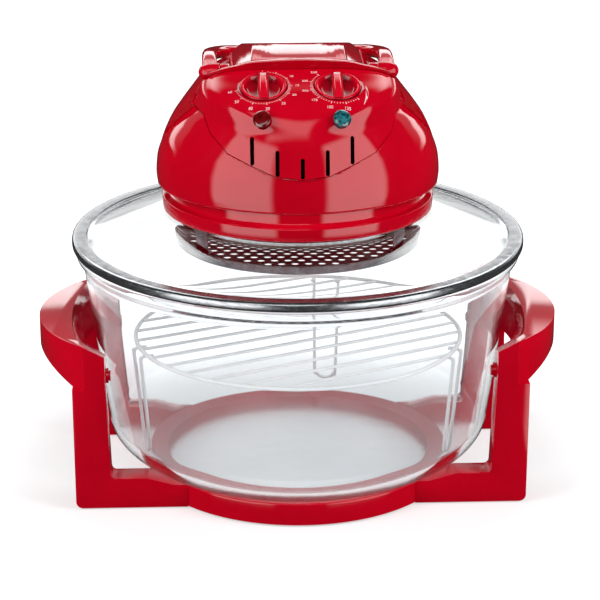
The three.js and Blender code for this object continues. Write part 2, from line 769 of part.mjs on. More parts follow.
const seatRoom = () => bar([0, 0, domeBottom - overrun], [0, 0, domeBottom + domeLip + overrun], domeSeatRadius,
  roundFaces);

// A frame on the panel's knob face or lamp face: z points out of the panel
function facing(x, y, z, tilt, turn = 0) {
  const matrix = new THREE.Matrix4().makeRotationFromEuler(new THREE.Euler(tilt, 0, turn, "ZYX"));
  return matrix.setPosition(x, y, z);
}

const transformed = (solid, matrix) => solid.transform(matrix.toArray());

const dialPlaces = [["timer", -1], ["thermostat", 1]].map(([name, side]) => ({
  name, side, frame: facing(side * dialX, dialY, dialHeight, dialTilt),
}));
const lampPlaces = [["red", -1], ["green", 1]].map(([name, side]) => ({
  name, frame: facing(side * lampX, lampY, lampHeight, lampTilt, side * lampTurn),
}));

function ventPrisms() {
  const cuts = [];
  for (let k = -2; k <= 2; k += 1) {
    const rank = Math.abs(k);
    const low = panelBottom + ventBottomShares[rank] * panelHeight + ventBridge;
    const high = panelBottom + ventTopShares[rank] * panelHeight;
    const x = k * ventPitch;
    cuts.push(drawn([
      [x - ventWidth / 2, low], [x + ventWidth / 2, low], [x + ventWidth / 2, high], [x - ventWidth / 2, high],
    ], alongPanel, ...panelReach));
  }
  return joined(cuts);
}

function makeFrontShells() {
  const front = halfSpace(true, gap / 2);
  const hollow = domeSolid(coverShares, shellWall);
  const cover = domeSolid(coverShares, 0).intersect(front).subtract(hollow).subtract(seatRoom())
    .subtract(shieldPrism(gap));
  addPiece("front_cover", cover, "red");

  const backRoom = joined([
    halfSpace(true, shellWall),
    block([-domeHalfWidth, -domeHalfWidth, 0], [domeHalfWidth, domeHalfWidth, panelBackHeight]),
  ]);
  let panel = domeSolid(panelShares, 0, panelSquaring).intersect(front);
  const panelHollow = domeSolid(panelShares, shellWall, panelSquaring).intersect(backRoom);
  panel = panel.subtract(panelHollow).subtract(seatRoom());
  const cupRadius = knobRadius + 2 * gap + cupWall;
  for (const { frame } of dialPlaces) {
    panel = panel.add(transformed(bar([0, 0, -cupDepth - cupWall], [0, 0, -shellWall / 2], cupRadius, headFaces / 2),
      frame));
  }
  panel = panel.intersect(shieldPrism(0)).intersect(domeSolid(panelShares, 0, panelSquaring));
  for (const { frame } of dialPlaces) {
    const well = bar([0, 0, -cupDepth], [0, 0, knobHeight], knobRadius + 2 * gap, headFaces / 2);
    const stemHole = bar([0, 0, -cupDepth - 2 * cupWall], [0, 0, 0], knobStemRadius + gap);
    panel = panel.subtract(transformed(well.add(stemHole), frame));
  }
  for (const { frame } of lampPlaces) {
    const hole = bar([0, 0, -lampDepth], [0, 0, lampDepth], lampRadius - lampFlange + gap, boreFaces);
    panel = panel.subtract(transformed(hole, frame));
  }
  return addPiece("control_panel", panel.subtract(ventPrisms()), "red");
}

function makeRearShell() {
  const plateauRoom = block(
    [-domeHalfWidth, -domeHalfWidth, domeBottom], [domeHalfWidth, domeHalfWidth, plateauHeight - shellWall]);
  const under = block(
    [-2 * domeHalfWidth, -2 * domeHalfWidth, 0], [2 * domeHalfWidth, 2 * domeHalfWidth, plateauHeight]);
  const behind = domeSolid(rearShares, shellWall).intersect(halfSpace(false, flangeWidth));
  const hollow = behind.add(domeSolid(coverShares, shellWall)).intersect(plateauRoom);
  let shell = domeSolid(rearShares, 0).intersect(under).intersect(halfSpace(false, gap / 2)).subtract(hollow);
  for (const side of [-1, 1]) {
    const along = (x, z) => [side * x, pivotY, z];
    const lugBar = (room) => bar(
      along(lugRoot - room, pivotHeight), along(pivotX - gap, pivotHeight), lugRadius + room, boreFaces);
    const hubRoom = bar(along(pivotX - gap, pivotHeight), along(domeHalfWidth, pivotHeight), hubRadius + looseGap,
      boreFaces);
    const pinRoom = bar(along(pinRoot - gap, pivotHeight), along(domeHalfWidth, pivotHeight), pinRadius + gap);
    const armX = [side * (pivotX - gap), side * domeHalfWidth].sort((a, b) => a - b);
    const armRoom = block([armX[0], pivotY, plateauHeight - looseGap], [armX[1], 0, plateauHeight + hubRadius]);
    shell = shell.subtract(lugBar(gap)).subtract(hubRoom).subtract(armRoom).subtract(pinRoom);
    addPiece(`handle_lug_${side < 0 ? "left" : "right"}`, lugBar(0).subtract(pinRoom), "red");
  }
  const cordRoom = bar([0, domeFront * 0.8, glandHeight], [0, 2 * domeHalfWidth, glandHeight], glandRadius + gap,
    boreFaces);
  return addPiece("rear_shell", shell.subtract(seatRoom()).subtract(cordRoom), "red");
}

// Top cover: a crowned lid over the middle of the head, drawn three ways and kept where all three agree

function humpSolid(inset) {
  const [half, front, back] = [humpHalfWidth - inset, humpFront + inset, humpBack - inset];
  const top = humpHeight - inset;
  const base = plateauHeight + gap - (inset ? overrun : 0);
  const crownShares = [[1, 0.22], [0.9, 0.52], [0.7, 0.78], [0.4, 0.94], [0, 1]];
  const crown = crownShares.map(([across, up]) => [across * half, plateauHeight + gap + up * top]);
  const across = [[half, base], ...crown, ...mirrorOutline(crown.slice(0, -1)).reverse(), [-half, base]];
  const sideShares = [[0, 0.68], [0.03, 0.84], [0.1, 0.94], [0.3, 1], [0.55, 0.96], [0.78, 0.72], [0.92, 0.42], [1, 0.1]];
  const side = sideShares.map(([along, up]) => [front + along * (back - front), plateauHeight + gap + up * top]);
  const planShares = [[1, 0], [1, 0.62], [0.8, 0.82], [0.5, 0.95], [0, 1]];
  const plan = planShares.map(([out, along]) => [out * half, front + along * (back - front)]);
  return drawn(mirrorOutline(across), alongY, front, back)
    .intersect(drawn([[front, base], ...side, [back, base]], alongX, -half, half))
    .intersect(drawn([...plan, ...mirrorOutline(plan.slice(0, -1)).reverse()], alongZ, base, base + 2 * humpHeight));
}

// The visor is the cover's front edge: it leans forward over the panel and reaches out before the handle's hubs
function visorSolid() {
  const base = plateauHeight + gap;
  const brow = visorShares.map(([across, up]) => [across * visorHalfWidth, base + up * visorHeight]);
  return drawn([[visorHalfWidth, base], ...brow, ...mirrorOutline(brow.slice(0, -1)).reverse(), [-visorHalfWidth, base]],
    alongY, 2 * splitHighY, pivotY - hubRadius - 2 * gap).intersect(halfSpace(false, 1.5 * gap));
}

const makeTopCover = () => addPiece("top_cover", humpSolid(0).subtract(humpSolid(humpWall)).add(visorSolid()), "red");

// Carry handle: two hubs on pins, two arms and a crossbar that lies behind the top cover

function makeHandle() {
  const backHeight = armHeight - handleLift - handleDrop;
  const half = [
    [0, handleReach, backHeight], [handleArmX * 0.6, handleReach * 0.945, backHeight],
    [handleArmX * 0.82, handleReach * 0.815, armHeight - handleLift - 0.7 * handleDrop],
    [handleArmX * 0.965, handleReach * 0.52, armHeight - handleLift - 0.2 * handleDrop],
    [handleArmX, handleReach * 0.2, armHeight],
    [handleArmX, handleReach * -0.07, armHeight], [handleArmX, pivotY, pivotHeight + pivotRise],
  ];
  const route = [...half.slice(1).reverse().map(([x, y, z]) => [-x, y, z]), ...half];
  const curve = new THREE.CatmullRomCurve3(route.map((point) => new THREE.Vector3(...point)), false, "centripetal");
  const steps = 26;
  const rings = [];
  for (let k = 0; k <= steps; k += 1) {
    const centre = curve.getPointAt(k / steps);
    const tangent = curve.getTangentAt(k / steps);
    const across = new THREE.Vector3().crossVectors(tangent, axes.z).normalize();
    const up = new THREE.Vector3().crossVectors(across, tangent);
    rings.push(circle(1, 8).map(([u, v]) => {
      const round = Math.max(Math.abs(u), Math.abs(v)) ** -0.5;
      return centre.clone().addScaledVector(across, (u * round * handleWidth) / 2)
        .addScaledVector(up, (v * round * handleDepth) / 2).toArray();
    }));
  }
  let handle = lofted(rings);
  for (const side of [-1, 1]) {
    const outer = side * (pivotX + hubLength);
    const cap = hubCapShares.map(([along, across]) => [across * hubRadius, along * hubLength]);
    const hub = moved(turned([[0, 0], ...cap, [0, hubLength]], boreFaces).rotate([0, side * 90, 0]),
      side * pivotX, pivotY, pivotHeight);
    const face = [side * (pivotX - overrun), side * (pivotX - handleWidth)].sort((a, b) => a - b);
    const trim = block([face[0], pivotY - hubRadius, pivotHeight - hubRadius],
      [face[1], pivotY + hubRadius, pivotHeight + hubRadius]);
    const bore = bar([side * (pivotX - overrun), pivotY, pivotHeight],
      [outer - side * (hubRadius - gap), pivotY, pivotHeight], pinRadius + gap);
    handle = handle.add(hub).subtract(trim).subtract(bore);
    const pin = bar([side * pinRoot, pivotY, pivotHeight], [outer - side * hubRadius, pivotY, pivotHeight], pinRadius);
    addPiece(side < 0 ? "handle_pin_left" : "handle_pin_right", pin, "steel");
  }
  return addPiece("carry_handle", handle, "red");
}

// Dials: a dished knob with a bar grip on a stem, in a cup, over its switch body

function knobSolid() {
  const seat = -cupDepth + looseGap;
  const top = seat + knobHeight;
  const dish = turned([
    [0, seat], [knobRadius - knobRimWidth / 2, seat], [knobRadius, seat + knobRimWidth], [knobRadius, top - knobRimWidth],
    [knobRadius - knobRimWidth / 2, top], [knobRadius - knobRimWidth, top],
    [knobRadius - 2 * knobRimWidth, top - knobDish * 0.7], [0, top - knobDish],
  ], headFaces / 2);
  const [half, barTop, barFoot] = [knobBarWidth / 2, top + knobBarRise, top - knobDish - overrun / 2];
  const grip = drawn([
    [half, barFoot], [half, barTop - half / 2], [half / 2, barTop], [-half / 2, barTop], [-half, barTop - half / 2],
    [-half, barFoot],
  ], alongY, -knobRadius, knobRadius);
  const round = bar([0, 0, seat], [0, 0, barTop + overrun], knobRadius - gap, headFaces / 2);
  const stem = bar([0, 0, seat - timerHeight / 3], [0, 0, top - knobDish], knobStemRadius);
  return joined([dish, grip.intersect(round), stem]);
}

function switchBody() {
  const top = -cupDepth - cupWall - 2 * gap;
  const chamfer = timerWidth / 9;
  const [x, y] = [timerWidth / 2, timerLength / 2];
  const outline = [[x - chamfer, -y], [x, chamfer - y], [x, y - chamfer], [x - chamfer, y]];
  const body = drawn([...outline, ...mirrorOutline(outline).reverse()], alongZ, top - timerHeight, top);
  const bore = bar([0, 0, top - timerHeight / 2], [0, 0, top + overrun], knobStemRadius + gap);
  return body.subtract(bore);
}

function makeDials() {
  for (const { name, frame } of dialPlaces) {
    addPiece(`${name}_knob`, transformed(knobSolid(), frame), "red");
    addPiece(`${name}_body`, transformed(switchBody(), frame), name === "timer" ? "whitePlastic" : "steel");
  }
}

function makeLamps() {
  const neck = lampRadius - lampFlange;
  const lens = turned([
    [0, -lampDepth], [neck, -lampDepth], [neck, lampFlange], [lampRadius, lampFlange], [lampRadius, 2 * lampFlange],
    [lampRadius * 0.7, 2 * lampFlange + lampCrown * 0.7], [0, 2 * lampFlange + lampCrown],
  ], boreFaces);
  for (const { name, frame } of lampPlaces) addPiece(`${name}_lens`, transformed(lens, frame), `${name}Lens`);
}

// Heating chamber: reflector pan, glass clamp ring, ring lamp on clips

function makeChamber() {
  addPiece("reflector_pan", turned([
    [floorHoleRadius / 3, panTop - panSheet], [panRadius - panSheet, panTop - panSheet], [panRadius - panSheet, panBottom],
    [panRadius, panBottom], [panRadius, panTop], [floorHoleRadius / 3, panTop],
  ]), "darkSteel");
  const clampTop = glassCrown - lidGlass - gap;
  addPiece("clamp_ring", turned([
    [panRadius + gap, clampTop - clampSheet], [clampRadius, clampTop - clampSheet], [clampRadius, clampTop],
    [panRadius + gap, clampTop],
  ]), "steel");
  const start = Math.PI / 2 + (2 * Math.PI - tubeSweep) / 2;
  const ringPath = new THREE.CatmullRomCurve3(arc([0, 0], tubeRingRadius, start, start + tubeSweep, 24)
    .map(([x, y]) => new THREE.Vector3(x, y, tubeHeight)));
  const section = new THREE.Shape(circle(tubeRadius, 8).map(([u, v]) => new THREE.Vector2(u, v)));
  const tube = new THREE.ExtrudeGeometry(section, { steps: 30, bevelEnabled: false, extrudePath: ringPath });
  addPiece("heater_tube", solidOf(tube), "quartz");
  const underPan = panTop - panSheet - gap;
  const half = (2 * Math.PI - tubeSweep) / 2;
  for (const [name, way] of [["heater_end_left", 1], ["heater_end_right", -1]]) {
    const x = [way * 3 * gap, way * (3 * gap + tubeEndLength)].sort((a, b) => a - b);
    const [low, high] = [tubeRingRadius - tubeEndWidth / 2, tubeRingRadius + tubeEndWidth / 2];
    addPiece(name, spun(block([x[0], low, tubeHeight - tubeEndWidth / 2], [x[1], high, underPan]), way * half),
      "ceramic");
  }
  clipAngles.forEach((angle, k) => {
    const clip = block([tubeRingRadius - clipWidth, -clipThickness / 2, tubeHeight],
      [tubeRingRadius + clipWidth, clipThickness / 2, underPan]);
    const saddle = bar([tubeRingRadius, -clipWidth, tubeHeight], [tubeRingRadius, clipWidth, tubeHeight],
      tubeRadius + 2 * gap);
    addPiece(`heater_clip_${k + 1}`, spun(clip.subtract(saddle), angle), "steel");
  });
}

// Guard: a perforated plate in a rolled rim, hung on four bent brackets

function makeGuard() {
  const plateBottom = guardRimBottom + 2 * guardRimSheet + gap;
  const holes = [];
  const rowStep = guardHolePitch * Math.sin(Math.PI / 3);
  const rows = Math.ceil(guardPlateRadius / rowStep);
  for (let row = -rows; row <= rows; row += 1) {
    for (let column = -rows; column <= rows; column += 1) {
      const centre = [(column + (Math.abs(row) % 2) / 2) * guardHolePitch, row * rowStep];
      const limit = guardPlateRadius - guardRimLip - guardMargin - guardHoleRadius;
      if (Math.hypot(...centre) < limit) holes.push(circle(guardHoleRadius, 6, centre));
    }
  }
  addPiece("heater_guard", drawn(circle(guardPlateRadius, roundFaces), alongZ, plateBottom, plateBottom + guardSheet,
    holes), "steel");
  const rimTop = guardRimBottom + guardRimHeight;
  addPiece("guard_rim", turned([
    [guardRadius - guardRimLip, guardRimBottom + guardRimSheet], [guardRadius - guardRimSheet, guardRimBottom],
    [guardRadius, guardRimBottom + guardRimSheet], [guardRadius, rimTop - guardRimSheet / 2],
    [guardRadius - guardRimSheet / 2, rimTop], [guardRadius - guardRimSheet, rimTop - guardRimSheet / 2],
    [guardRadius - guardRimSheet, guardRimBottom + 2 * guardRimSheet],
    [guardRadius - guardRimLip, guardRimBottom + 2 * guardRimSheet],
  ]), "steel");
  const low = plateBottom + guardSheet + gap;
  const high = glassCrown - lidGlass - 2 * gap - clampSheet;
  const profile = strip([
    [guardBracketRadius - guardBracketFoot, low], [guardBracketRadius, low], [guardBracketRadius, high],
    [guardBracketRadius - guardBracketFoot, high],
  ], guardBracketSheet);
  guardBracketAngles.forEach((angle, k) => {
    const bracket = drawn(profile, alongX, -guardBracketWidth / 2, guardBracketWidth / 2);
    addPiece(`guard_bracket_${k + 1}`, spun(bracket, angle - Math.PI / 2), "steel");
  });
}

// Motor: heat shield, strap, shaded-pole stator and coil; one shaft turns both fans

function makeMotor() {
  const shieldBottom = flangeBottom + floorSheet + gap;
  addPiece("heat_shield", turned([
    [fanHubRadius, shieldBottom], [shieldRadius, shieldBottom], [shieldRadius, shieldBottom + shieldSheet],
    [fanHubRadius, shieldBottom + shieldSheet],
  ]), "darkSteel");
  const foot = shieldBottom + shieldSheet + gap;
  const reach = bracketHalfWidth + bracketFoot;
  const strap = strip([
    [-reach, foot + bracketSheet], [-bracketHalfWidth, foot + bracketSheet], [-bracketHalfWidth, bracketTop],
    [bracketHalfWidth, bracketTop], [bracketHalfWidth, foot + bracketSheet], [reach, foot + bracketSheet],
  ], -bracketSheet);
  const bearing = bar([0, 0, bracketTop - 2 * bracketSheet], [0, 0, bracketTop + bracketSheet], shaftRadius + gap);
  addPiece("motor_bracket", drawn(mirrorOutline(strap), alongY, -bracketLength / 2, bracketLength / 2).subtract(bearing),
    "steel");
  const stackLow = bracketTop + gap;
  const stackHigh = stackLow + statorStack;
  const half = statorWidth / 2;
  const windowBack = statorBack - statorLeg;
  const windowHalf = coilLength / 2 + 2 * gap;
  const window = [
    [-windowHalf, windowBack - statorWindow], [windowHalf, windowBack - statorWindow], [windowHalf, windowBack],
    [-windowHalf, windowBack]];
  addPiece("motor_stator", drawn(
    [[-half, statorFront], [half, statorFront], [half, statorBack], [-half, statorBack]], alongZ, stackLow, stackHigh,
    [circle(statorBoreRadius, boreFaces), window]), "steel");
  const coil = block([-coilLength / 2, windowBack - coilBuild, stackLow - coilBuild],
    [coilLength / 2, statorBack + coilBuild, stackHigh + coilBuild]);
  const core = block([-coilLength, windowBack - gap, stackLow - gap], [coilLength, statorBack + gap, stackHigh + gap]);
  addPiece("motor_coil", coil.subtract(core), "copper");

  const shaft = bar([0, 0, shaftBottom], [0, 0, shaftTop], shaftRadius);
  const rotor = bar([0, 0, stackLow + gap], [0, 0, stackHigh], rotorRadius, boreFaces);
  addPiece("rotor_shaft", joined([shaft, rotor]), "steel");
  const bore = bar([0, 0, panBottom], [0, 0, coolerBottom + 2 * coolerHeight], shaftRadius + gap);
  const blade = block([fanHubRadius - fanSheet, -fanSheet / 2, fanBottom + fanSheet / 2],
    [fanRadius - fanSheet, fanSheet / 2, fanBottom + fanBladeHeight - fanSheet / 2]);
  const fan = [bar([0, 0, fanBottom], [0, 0, fanBottom + fanSheet], fanRadius, headFaces / 2),
    bar([0, 0, fanBottom], [0, 0, fanBottom + fanBladeHeight], fanHubRadius)];
  for (let k = 0; k < fanBladeCount; k += 1) fan.push(spun(blade, (2 * Math.PI * k) / fanBladeCount));
  addPiece("convection_fan", joined(fan).subtract(bore), "darkSteel");
  const cooler = [bar([0, 0, coolerBottom], [0, 0, coolerBottom + coolerHeight], fanHubRadius, boreFaces)];
  const paddle = moved(block([0, -coolerHeight * 0.75, -fanSheet / 2], [coolerRadius, coolerHeight * 0.75, fanSheet / 2])
    .rotate([THREE.MathUtils.radToDeg(coolerPitch), 0, 0]), 0, 0, coolerBottom + coolerHeight / 2);
  for (let k = 0; k < coolerBladeCount; k += 1) cooler.push(spun(paddle, (2 * Math.PI * k) / coolerBladeCount));
  addPiece("cooling_fan", joined(cooler).subtract(bore), "blackPlastic");
}

// Small parts: the handle's safety switch and the cord gland

function makeSmallParts() {
  const base = plateauHeight + gap;
  const chamfer = switchHeight / 6;
  const outline = [[switchX, base], [switchX + switchWidth, base], [switchX + switchWidth, base + switchHeight - chamfer],
    [switchX + switchWidth - chamfer, base + switchHeight], [switchX, base + switchHeight]];
  addPiece("safety_switch", drawn(mirrorOutline(outline), alongY, pivotY + humpWall + overrun,
    pivotY + humpWall + overrun + switchLength), "blackPlastic");
  const rearShare = rearShares[2][2];
  const wallY = domeFront * rearShare + 2 * gap;
  const gland = turned([
    [glandBore, -glandLength], [glandRadius, -glandLength], [glandRadius, 0], [glandFlange, 0],
    [glandFlange - glandLip / 2, glandLip], [glandBore, glandLip],
  ], boreFaces).rotate([-90, 0, 0]);
  return addPiece("cord_gland", moved(gland, 0, wallY, glandHeight), "blackPlastic");
}

makeBaseRing();
makeFrame(-1, "left_frame");
makeFrame(1, "right_frame");
makeFeet();
makeBowl();
makeRack();
makeLid();
makeHeadBase();
makeFrontShells();
makeRearShell();
makeTopCover();
makeHandle();
makeDials();
makeLamps();
makeChamber();
makeGuard();
makeMotor();
makeSmallParts();

export default oven;
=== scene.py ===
"""Halogen oven in a white product studio: glass bowl, red moulded stand, and a glass lid with a red heating head."""

import json
import math

import bpy
from mathutils import Matrix, Vector


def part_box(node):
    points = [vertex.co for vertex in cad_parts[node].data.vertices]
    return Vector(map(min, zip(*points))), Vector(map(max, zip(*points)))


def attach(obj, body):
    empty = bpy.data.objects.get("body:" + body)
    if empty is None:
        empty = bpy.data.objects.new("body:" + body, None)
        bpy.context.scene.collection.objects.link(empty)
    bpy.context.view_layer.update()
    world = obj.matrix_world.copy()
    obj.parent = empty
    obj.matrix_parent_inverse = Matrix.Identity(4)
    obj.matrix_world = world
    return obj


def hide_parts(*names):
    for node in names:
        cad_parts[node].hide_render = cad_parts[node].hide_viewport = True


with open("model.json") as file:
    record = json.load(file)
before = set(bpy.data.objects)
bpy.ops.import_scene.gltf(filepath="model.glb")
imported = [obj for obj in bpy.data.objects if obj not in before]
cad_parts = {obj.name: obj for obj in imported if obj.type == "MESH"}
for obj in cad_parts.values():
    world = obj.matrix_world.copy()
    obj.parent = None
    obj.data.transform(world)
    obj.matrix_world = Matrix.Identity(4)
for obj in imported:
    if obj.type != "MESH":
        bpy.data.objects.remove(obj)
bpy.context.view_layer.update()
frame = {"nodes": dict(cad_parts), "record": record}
MM = 0.001
TURN = 2 * math.pi
SLOTS = {part["node"]: part["material_slot"] for part in frame["record"]["subparts"]}
BODY_OF = {node: body for body, nodes in frame["record"]["behaviour"]["bodies"].items() for node in nodes}


# Small helpers


def least(node):
    """The low corner of a CAD node's box in mm."""
    return Vector(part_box(node)[0]) / MM


def most(node):
    """The high corner of a CAD node's box in mm."""
    return Vector(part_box(node)[1]) / MM


def deselect():
    if bpy.context.object and bpy.context.object.mode != "OBJECT":
        bpy.ops.object.mode_set(mode="OBJECT")
    bpy.ops.object.select_all(action="DESELECT")


def take(piece):
    deselect()
    piece.select_set(True)
    bpy.context.view_layer.objects.active = piece


def edit_all():
    bpy.ops.object.mode_set(mode="EDIT")
    bpy.ops.mesh.select_all(action="SELECT")


def settle(piece):
    """Merges doubles, turns the faces outwards and puts the piece's place into its mesh."""
    take(piece)
    edit_all()
    bpy.ops.mesh.remove_doubles(threshold=2e-6)
    bpy.ops.mesh.normals_make_consistent(inside=False)
    bpy.ops.object.mode_set(mode="OBJECT")
    bpy.ops.object.transform_apply(location=True, rotation=True, scale=True)
    return piece


def softened(piece, width=0.0, segments=2, angle=30):
    """Rounds the sharp edges by a width in mm, then shades smooth up to an angle."""
    take(piece)
    if width:
        rounding = piece.modifiers.new("edge rounding", "BEVEL")
        rounding.width = width * MM
        rounding.segments = segments
        rounding.limit_method = "ANGLE"
        rounding.angle_limit = math.radians(angle)
        bpy.ops.object.modifier_apply(modifier=rounding.name)
    bpy.ops.object.shade_smooth_by_angle(angle=math.radians(angle))
    return piece


def rounded(corners, steps=6):
    """An outline in mm whose corners, each two places and a rounding, are drawn as soft bends."""
    line = [corners[0][:2]]
    for before, corner, after in zip(corners, corners[1:], corners[2:]):
        middle, radius = Vector(corner[:2]), corner[2]
        back, on = Vector(before[:2]) - middle, Vector(after[:2]) - middle
        if not radius:
            line.append(corner[:2])
            continue
        start = middle + back.normalized() * min(radius, back.length * 0.49)
        end = middle + on.normalized() * min(radius, on.length * 0.49)
        for k in range(steps + 1):
            t = k / steps
            line.append(tuple(start * (1 - t) ** 2 + middle * 2 * t * (1 - t) + end * t ** 2))
    return line + [corners[-1][:2]]


def curve(points, steps=8):
    """Points in between on a smooth line through a few."""
    line = [Vector(p) for p in points]
    line = [2 * line[0] - line[1]] + line + [2 * line[-1] - line[-2]]
    route = []
    for a, b, c, d in zip(line, line[1:], line[2:], line[3:]):
        for k in range(steps):
            t = k / steps
            route.append(0.5 * (2 * b + (c - a) * t + (2 * a - 5 * b + 4 * c - d) * t ** 2
                                + (3 * b - a - 3 * c + d) * t ** 3))
    return route + [line[-2]]


def arc(centre, radius, start, end, steps):
    """Points of an arc, its angles in degrees."""
    angles = [math.radians(start + (end - start) * k / steps) for k in range(steps + 1)]
    return [(centre[0] + radius * math.cos(a), centre[1] + radius * math.sin(a)) for a in angles]


def mirrored(half):
    """Half an outline and its mirror image across the middle."""
    return half + [(-x, y) for x, y in half[::-1] if x]


def chain(name, points, closed=False):
    """A line of edges through points in mm, drawn out from one vertex."""
    deselect()
    bpy.ops.mesh.primitive_plane_add(size=MM, location=Vector(points[0]) * MM)
    piece = bpy.context.object
    piece.name = name
    edit_all()
    bpy.ops.mesh.merge(type="CENTER")
    bpy.ops.mesh.select_mode(type="VERT")
    for a, b in zip(points, points[1:]):
        step = (Vector(b) - Vector(a)) * MM
        bpy.ops.mesh.extrude_vertices_move(TRANSFORM_OT_translate={"value": step})
    if closed:
        bpy.ops.object.mode_set(mode="OBJECT")
        for k, vertex in enumerate(piece.data.vertices):
            vertex.select = k in (0, len(piece.data.vertices) - 1)
        bpy.ops.object.mode_set(mode="EDIT")
        bpy.ops.mesh.edge_face_add()
    return piece


def turned(name, profile, steps=128):
    """A profile of (radius, height) in mm spun about the upright axis. Off the axis it closes on itself."""
    piece = chain(name, [(r, 0, z) for r, z in profile], profile[0][0] > 0)
    bpy.ops.mesh.select_all(action="SELECT")
    bpy.ops.mesh.spin(steps=steps, angle=TURN, center=(0, 0, 0), axis=(0, 0, 1))
    bpy.ops.object.mode_set(mode="OBJECT")
    return settle(piece)


def extruded(name, outline, sweep):
    """A flat outline of points in mm, filled and drawn out along a vector in mm."""
    piece = chain(name, outline)
    bpy.ops.mesh.select_all(action="SELECT")
    bpy.ops.mesh.edge_face_add()
    bpy.ops.mesh.select_all(action="SELECT")
    bpy.ops.mesh.extrude_region_move(TRANSFORM_OT_translate={"value": Vector(sweep) * MM})
    bpy.ops.object.mode_set(mode="OBJECT")
    return settle(piece)


def lofted(name, rings):
    """Rings of points in mm skinned one to the next and closed at both ends, for forms no spin or sweep gives."""
    around = len(rings[0])
    faces = [tuple(range(around)), tuple((len(rings) - 1) * around + i for i in range(around))]
    for k in range(len(rings) - 1):
        for i in range(around):
            a, b = k * around + i, k * around + (i + 1) % around
            faces.append((a, b, b + around, a + around))
    mesh = bpy.data.meshes.new(name)
    mesh.from_pydata([Vector(point) * MM for ring in rings for point in ring], [], faces)
    piece = bpy.data.objects.new(name, mesh)
    bpy.context.scene.collection.objects.link(piece)
    return settle(piece)


def rod(name, start, end, radius, sides=32):
    """A round bar between two points in mm."""
    deselect()
    a, b = Vector(start) * MM, Vector(end) * MM
    turn = (b - a).to_track_quat("Z", "Y").to_euler()
    bpy.ops.mesh.primitive_cylinder_add(
        vertices=sides, radius=radius * MM, depth=(b - a).length, location=(a + b) / 2, rotation=turn)
    piece = bpy.context.object
    piece.name = name
    return settle(piece)


def slab(name, corner, opposite):
    """A block between two corners in mm."""
    deselect()
    middle = [(a + b) / 2 * MM for a, b in zip(corner, opposite)]
    size = [abs(b - a) * MM for a, b in zip(corner, opposite)]
    bpy.ops.mesh.primitive_cube_add(size=1, location=middle, scale=size)
    piece = bpy.context.object
    piece.name = name
    return settle(piece)


def combine(piece, other, operation="DIFFERENCE"):
    """Cuts, joins or meets a piece with another one, which is used up."""
    take(piece)
    step = piece.modifiers.new("combine", "BOOLEAN")
    step.operation = operation
    step.solver = "EXACT"
    step.object = other
    bpy.ops.object.modifier_apply(modifier=step.name)
    bpy.data.objects.remove(other)
    return piece


def joined(pieces):
    """Several meshes made one object, without cutting."""
    deselect()
    for piece in pieces:
        piece.select_set(True)
    bpy.context.view_layer.objects.active = pieces[0]
    bpy.ops.object.join()
    return pieces[0]


def repeated(piece, places):
    """Copies of a piece at each place matrix in mm, joined into one. The first piece is used up."""
    copies = []
    for place in places:
        one = piece.copy()
        one.data = piece.data.copy()
        one.data.transform(in_metres(place))
        bpy.context.scene.collection.objects.link(one)
        copies.append(one)
    bpy.data.objects.remove(piece)
    return joined(copies)


def in_metres(place):
    """A placing matrix in mm, for a mesh in metres."""
    return Matrix.Scale(MM, 4) @ place @ Matrix.Scale(1 / MM, 4)


def copied(node, dissolve=0.5):
    """A copy of a CAD node with its loose triangles merged into whole faces."""
    piece = bpy.data.objects.new(node + "_look", frame["nodes"][node].data.copy())
    bpy.context.scene.collection.objects.link(piece)
    take(piece)
    edit_all()
    bpy.ops.mesh.remove_doubles(threshold=5e-6)
    bpy.ops.mesh.dissolve_limited(angle_limit=math.radians(dissolve))
    bpy.ops.object.mode_set(mode="OBJECT")
    return piece


def added(piece, node, finish):
    """Gives a piece its finish and lets it ride with a CAD node's body."""
    piece.data.materials.clear()
    piece.data.materials.append(finish)
    for polygon in piece.data.polygons:
        polygon.material_index = 0
    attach(piece, BODY_OF[node])
    return piece


def placed(piece, node, finish, *others):
    """Puts a finished piece in the place of a CAD node and any others."""
    added(piece, node, finish)
    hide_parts(node, *others)
    return piece


def wires(name, routes, radius, cyclic=False, sides=3):
    """Round wires along routes of points in mm, as one mesh."""
    deselect()
    line = bpy.data.curves.new(name, "CURVE")
    line.dimensions = "3D"
    line.bevel_depth = radius * MM
    line.bevel_resolution = sides
    line.use_fill_caps = not cyclic
    for route in routes:
        spline = line.splines.new("POLY")
        spline.points.add(len(route) - 1)
        for point, place in zip(spline.points, route):
            point.co = (*(Vector(place) * MM), 1)
        spline.use_cyclic_u = cyclic
    piece = bpy.data.objects.new(name, line)
    bpy.context.scene.collection.objects.link(piece)
    take(piece)
    bpy.ops.object.convert(target="MESH")
    piece = bpy.context.object
    piece.name = name
    return settle(piece)


# Finishes


def linear(hex_colour):
    """An sRGB hex colour as linear RGBA."""
    channels = [int(hex_colour[k:k + 2], 16) / 255 for k in (1, 3, 5)]
    return [c / 12.92 if c <= 0.04045 else ((c + 0.055) / 1.055) ** 2.4 for c in channels] + [1]


def add(tree, kind, inputs=None, **settings):
    """One shader node with its settings; each input is a value or another node's output."""
    made = tree.nodes.new(kind)
    for key, value in settings.items():
        setattr(made, key, value)
    for key, value in (inputs or {}).items():
        if isinstance(value, bpy.types.NodeSocket):
            tree.links.new(value, made.inputs[key])
        else:
            made.inputs[key].default_value = value
    return made


def maths(tree, operation, *values, **settings):
    return add(tree, "ShaderNodeMath", dict(enumerate(values)), operation=operation, **settings).outputs[0]


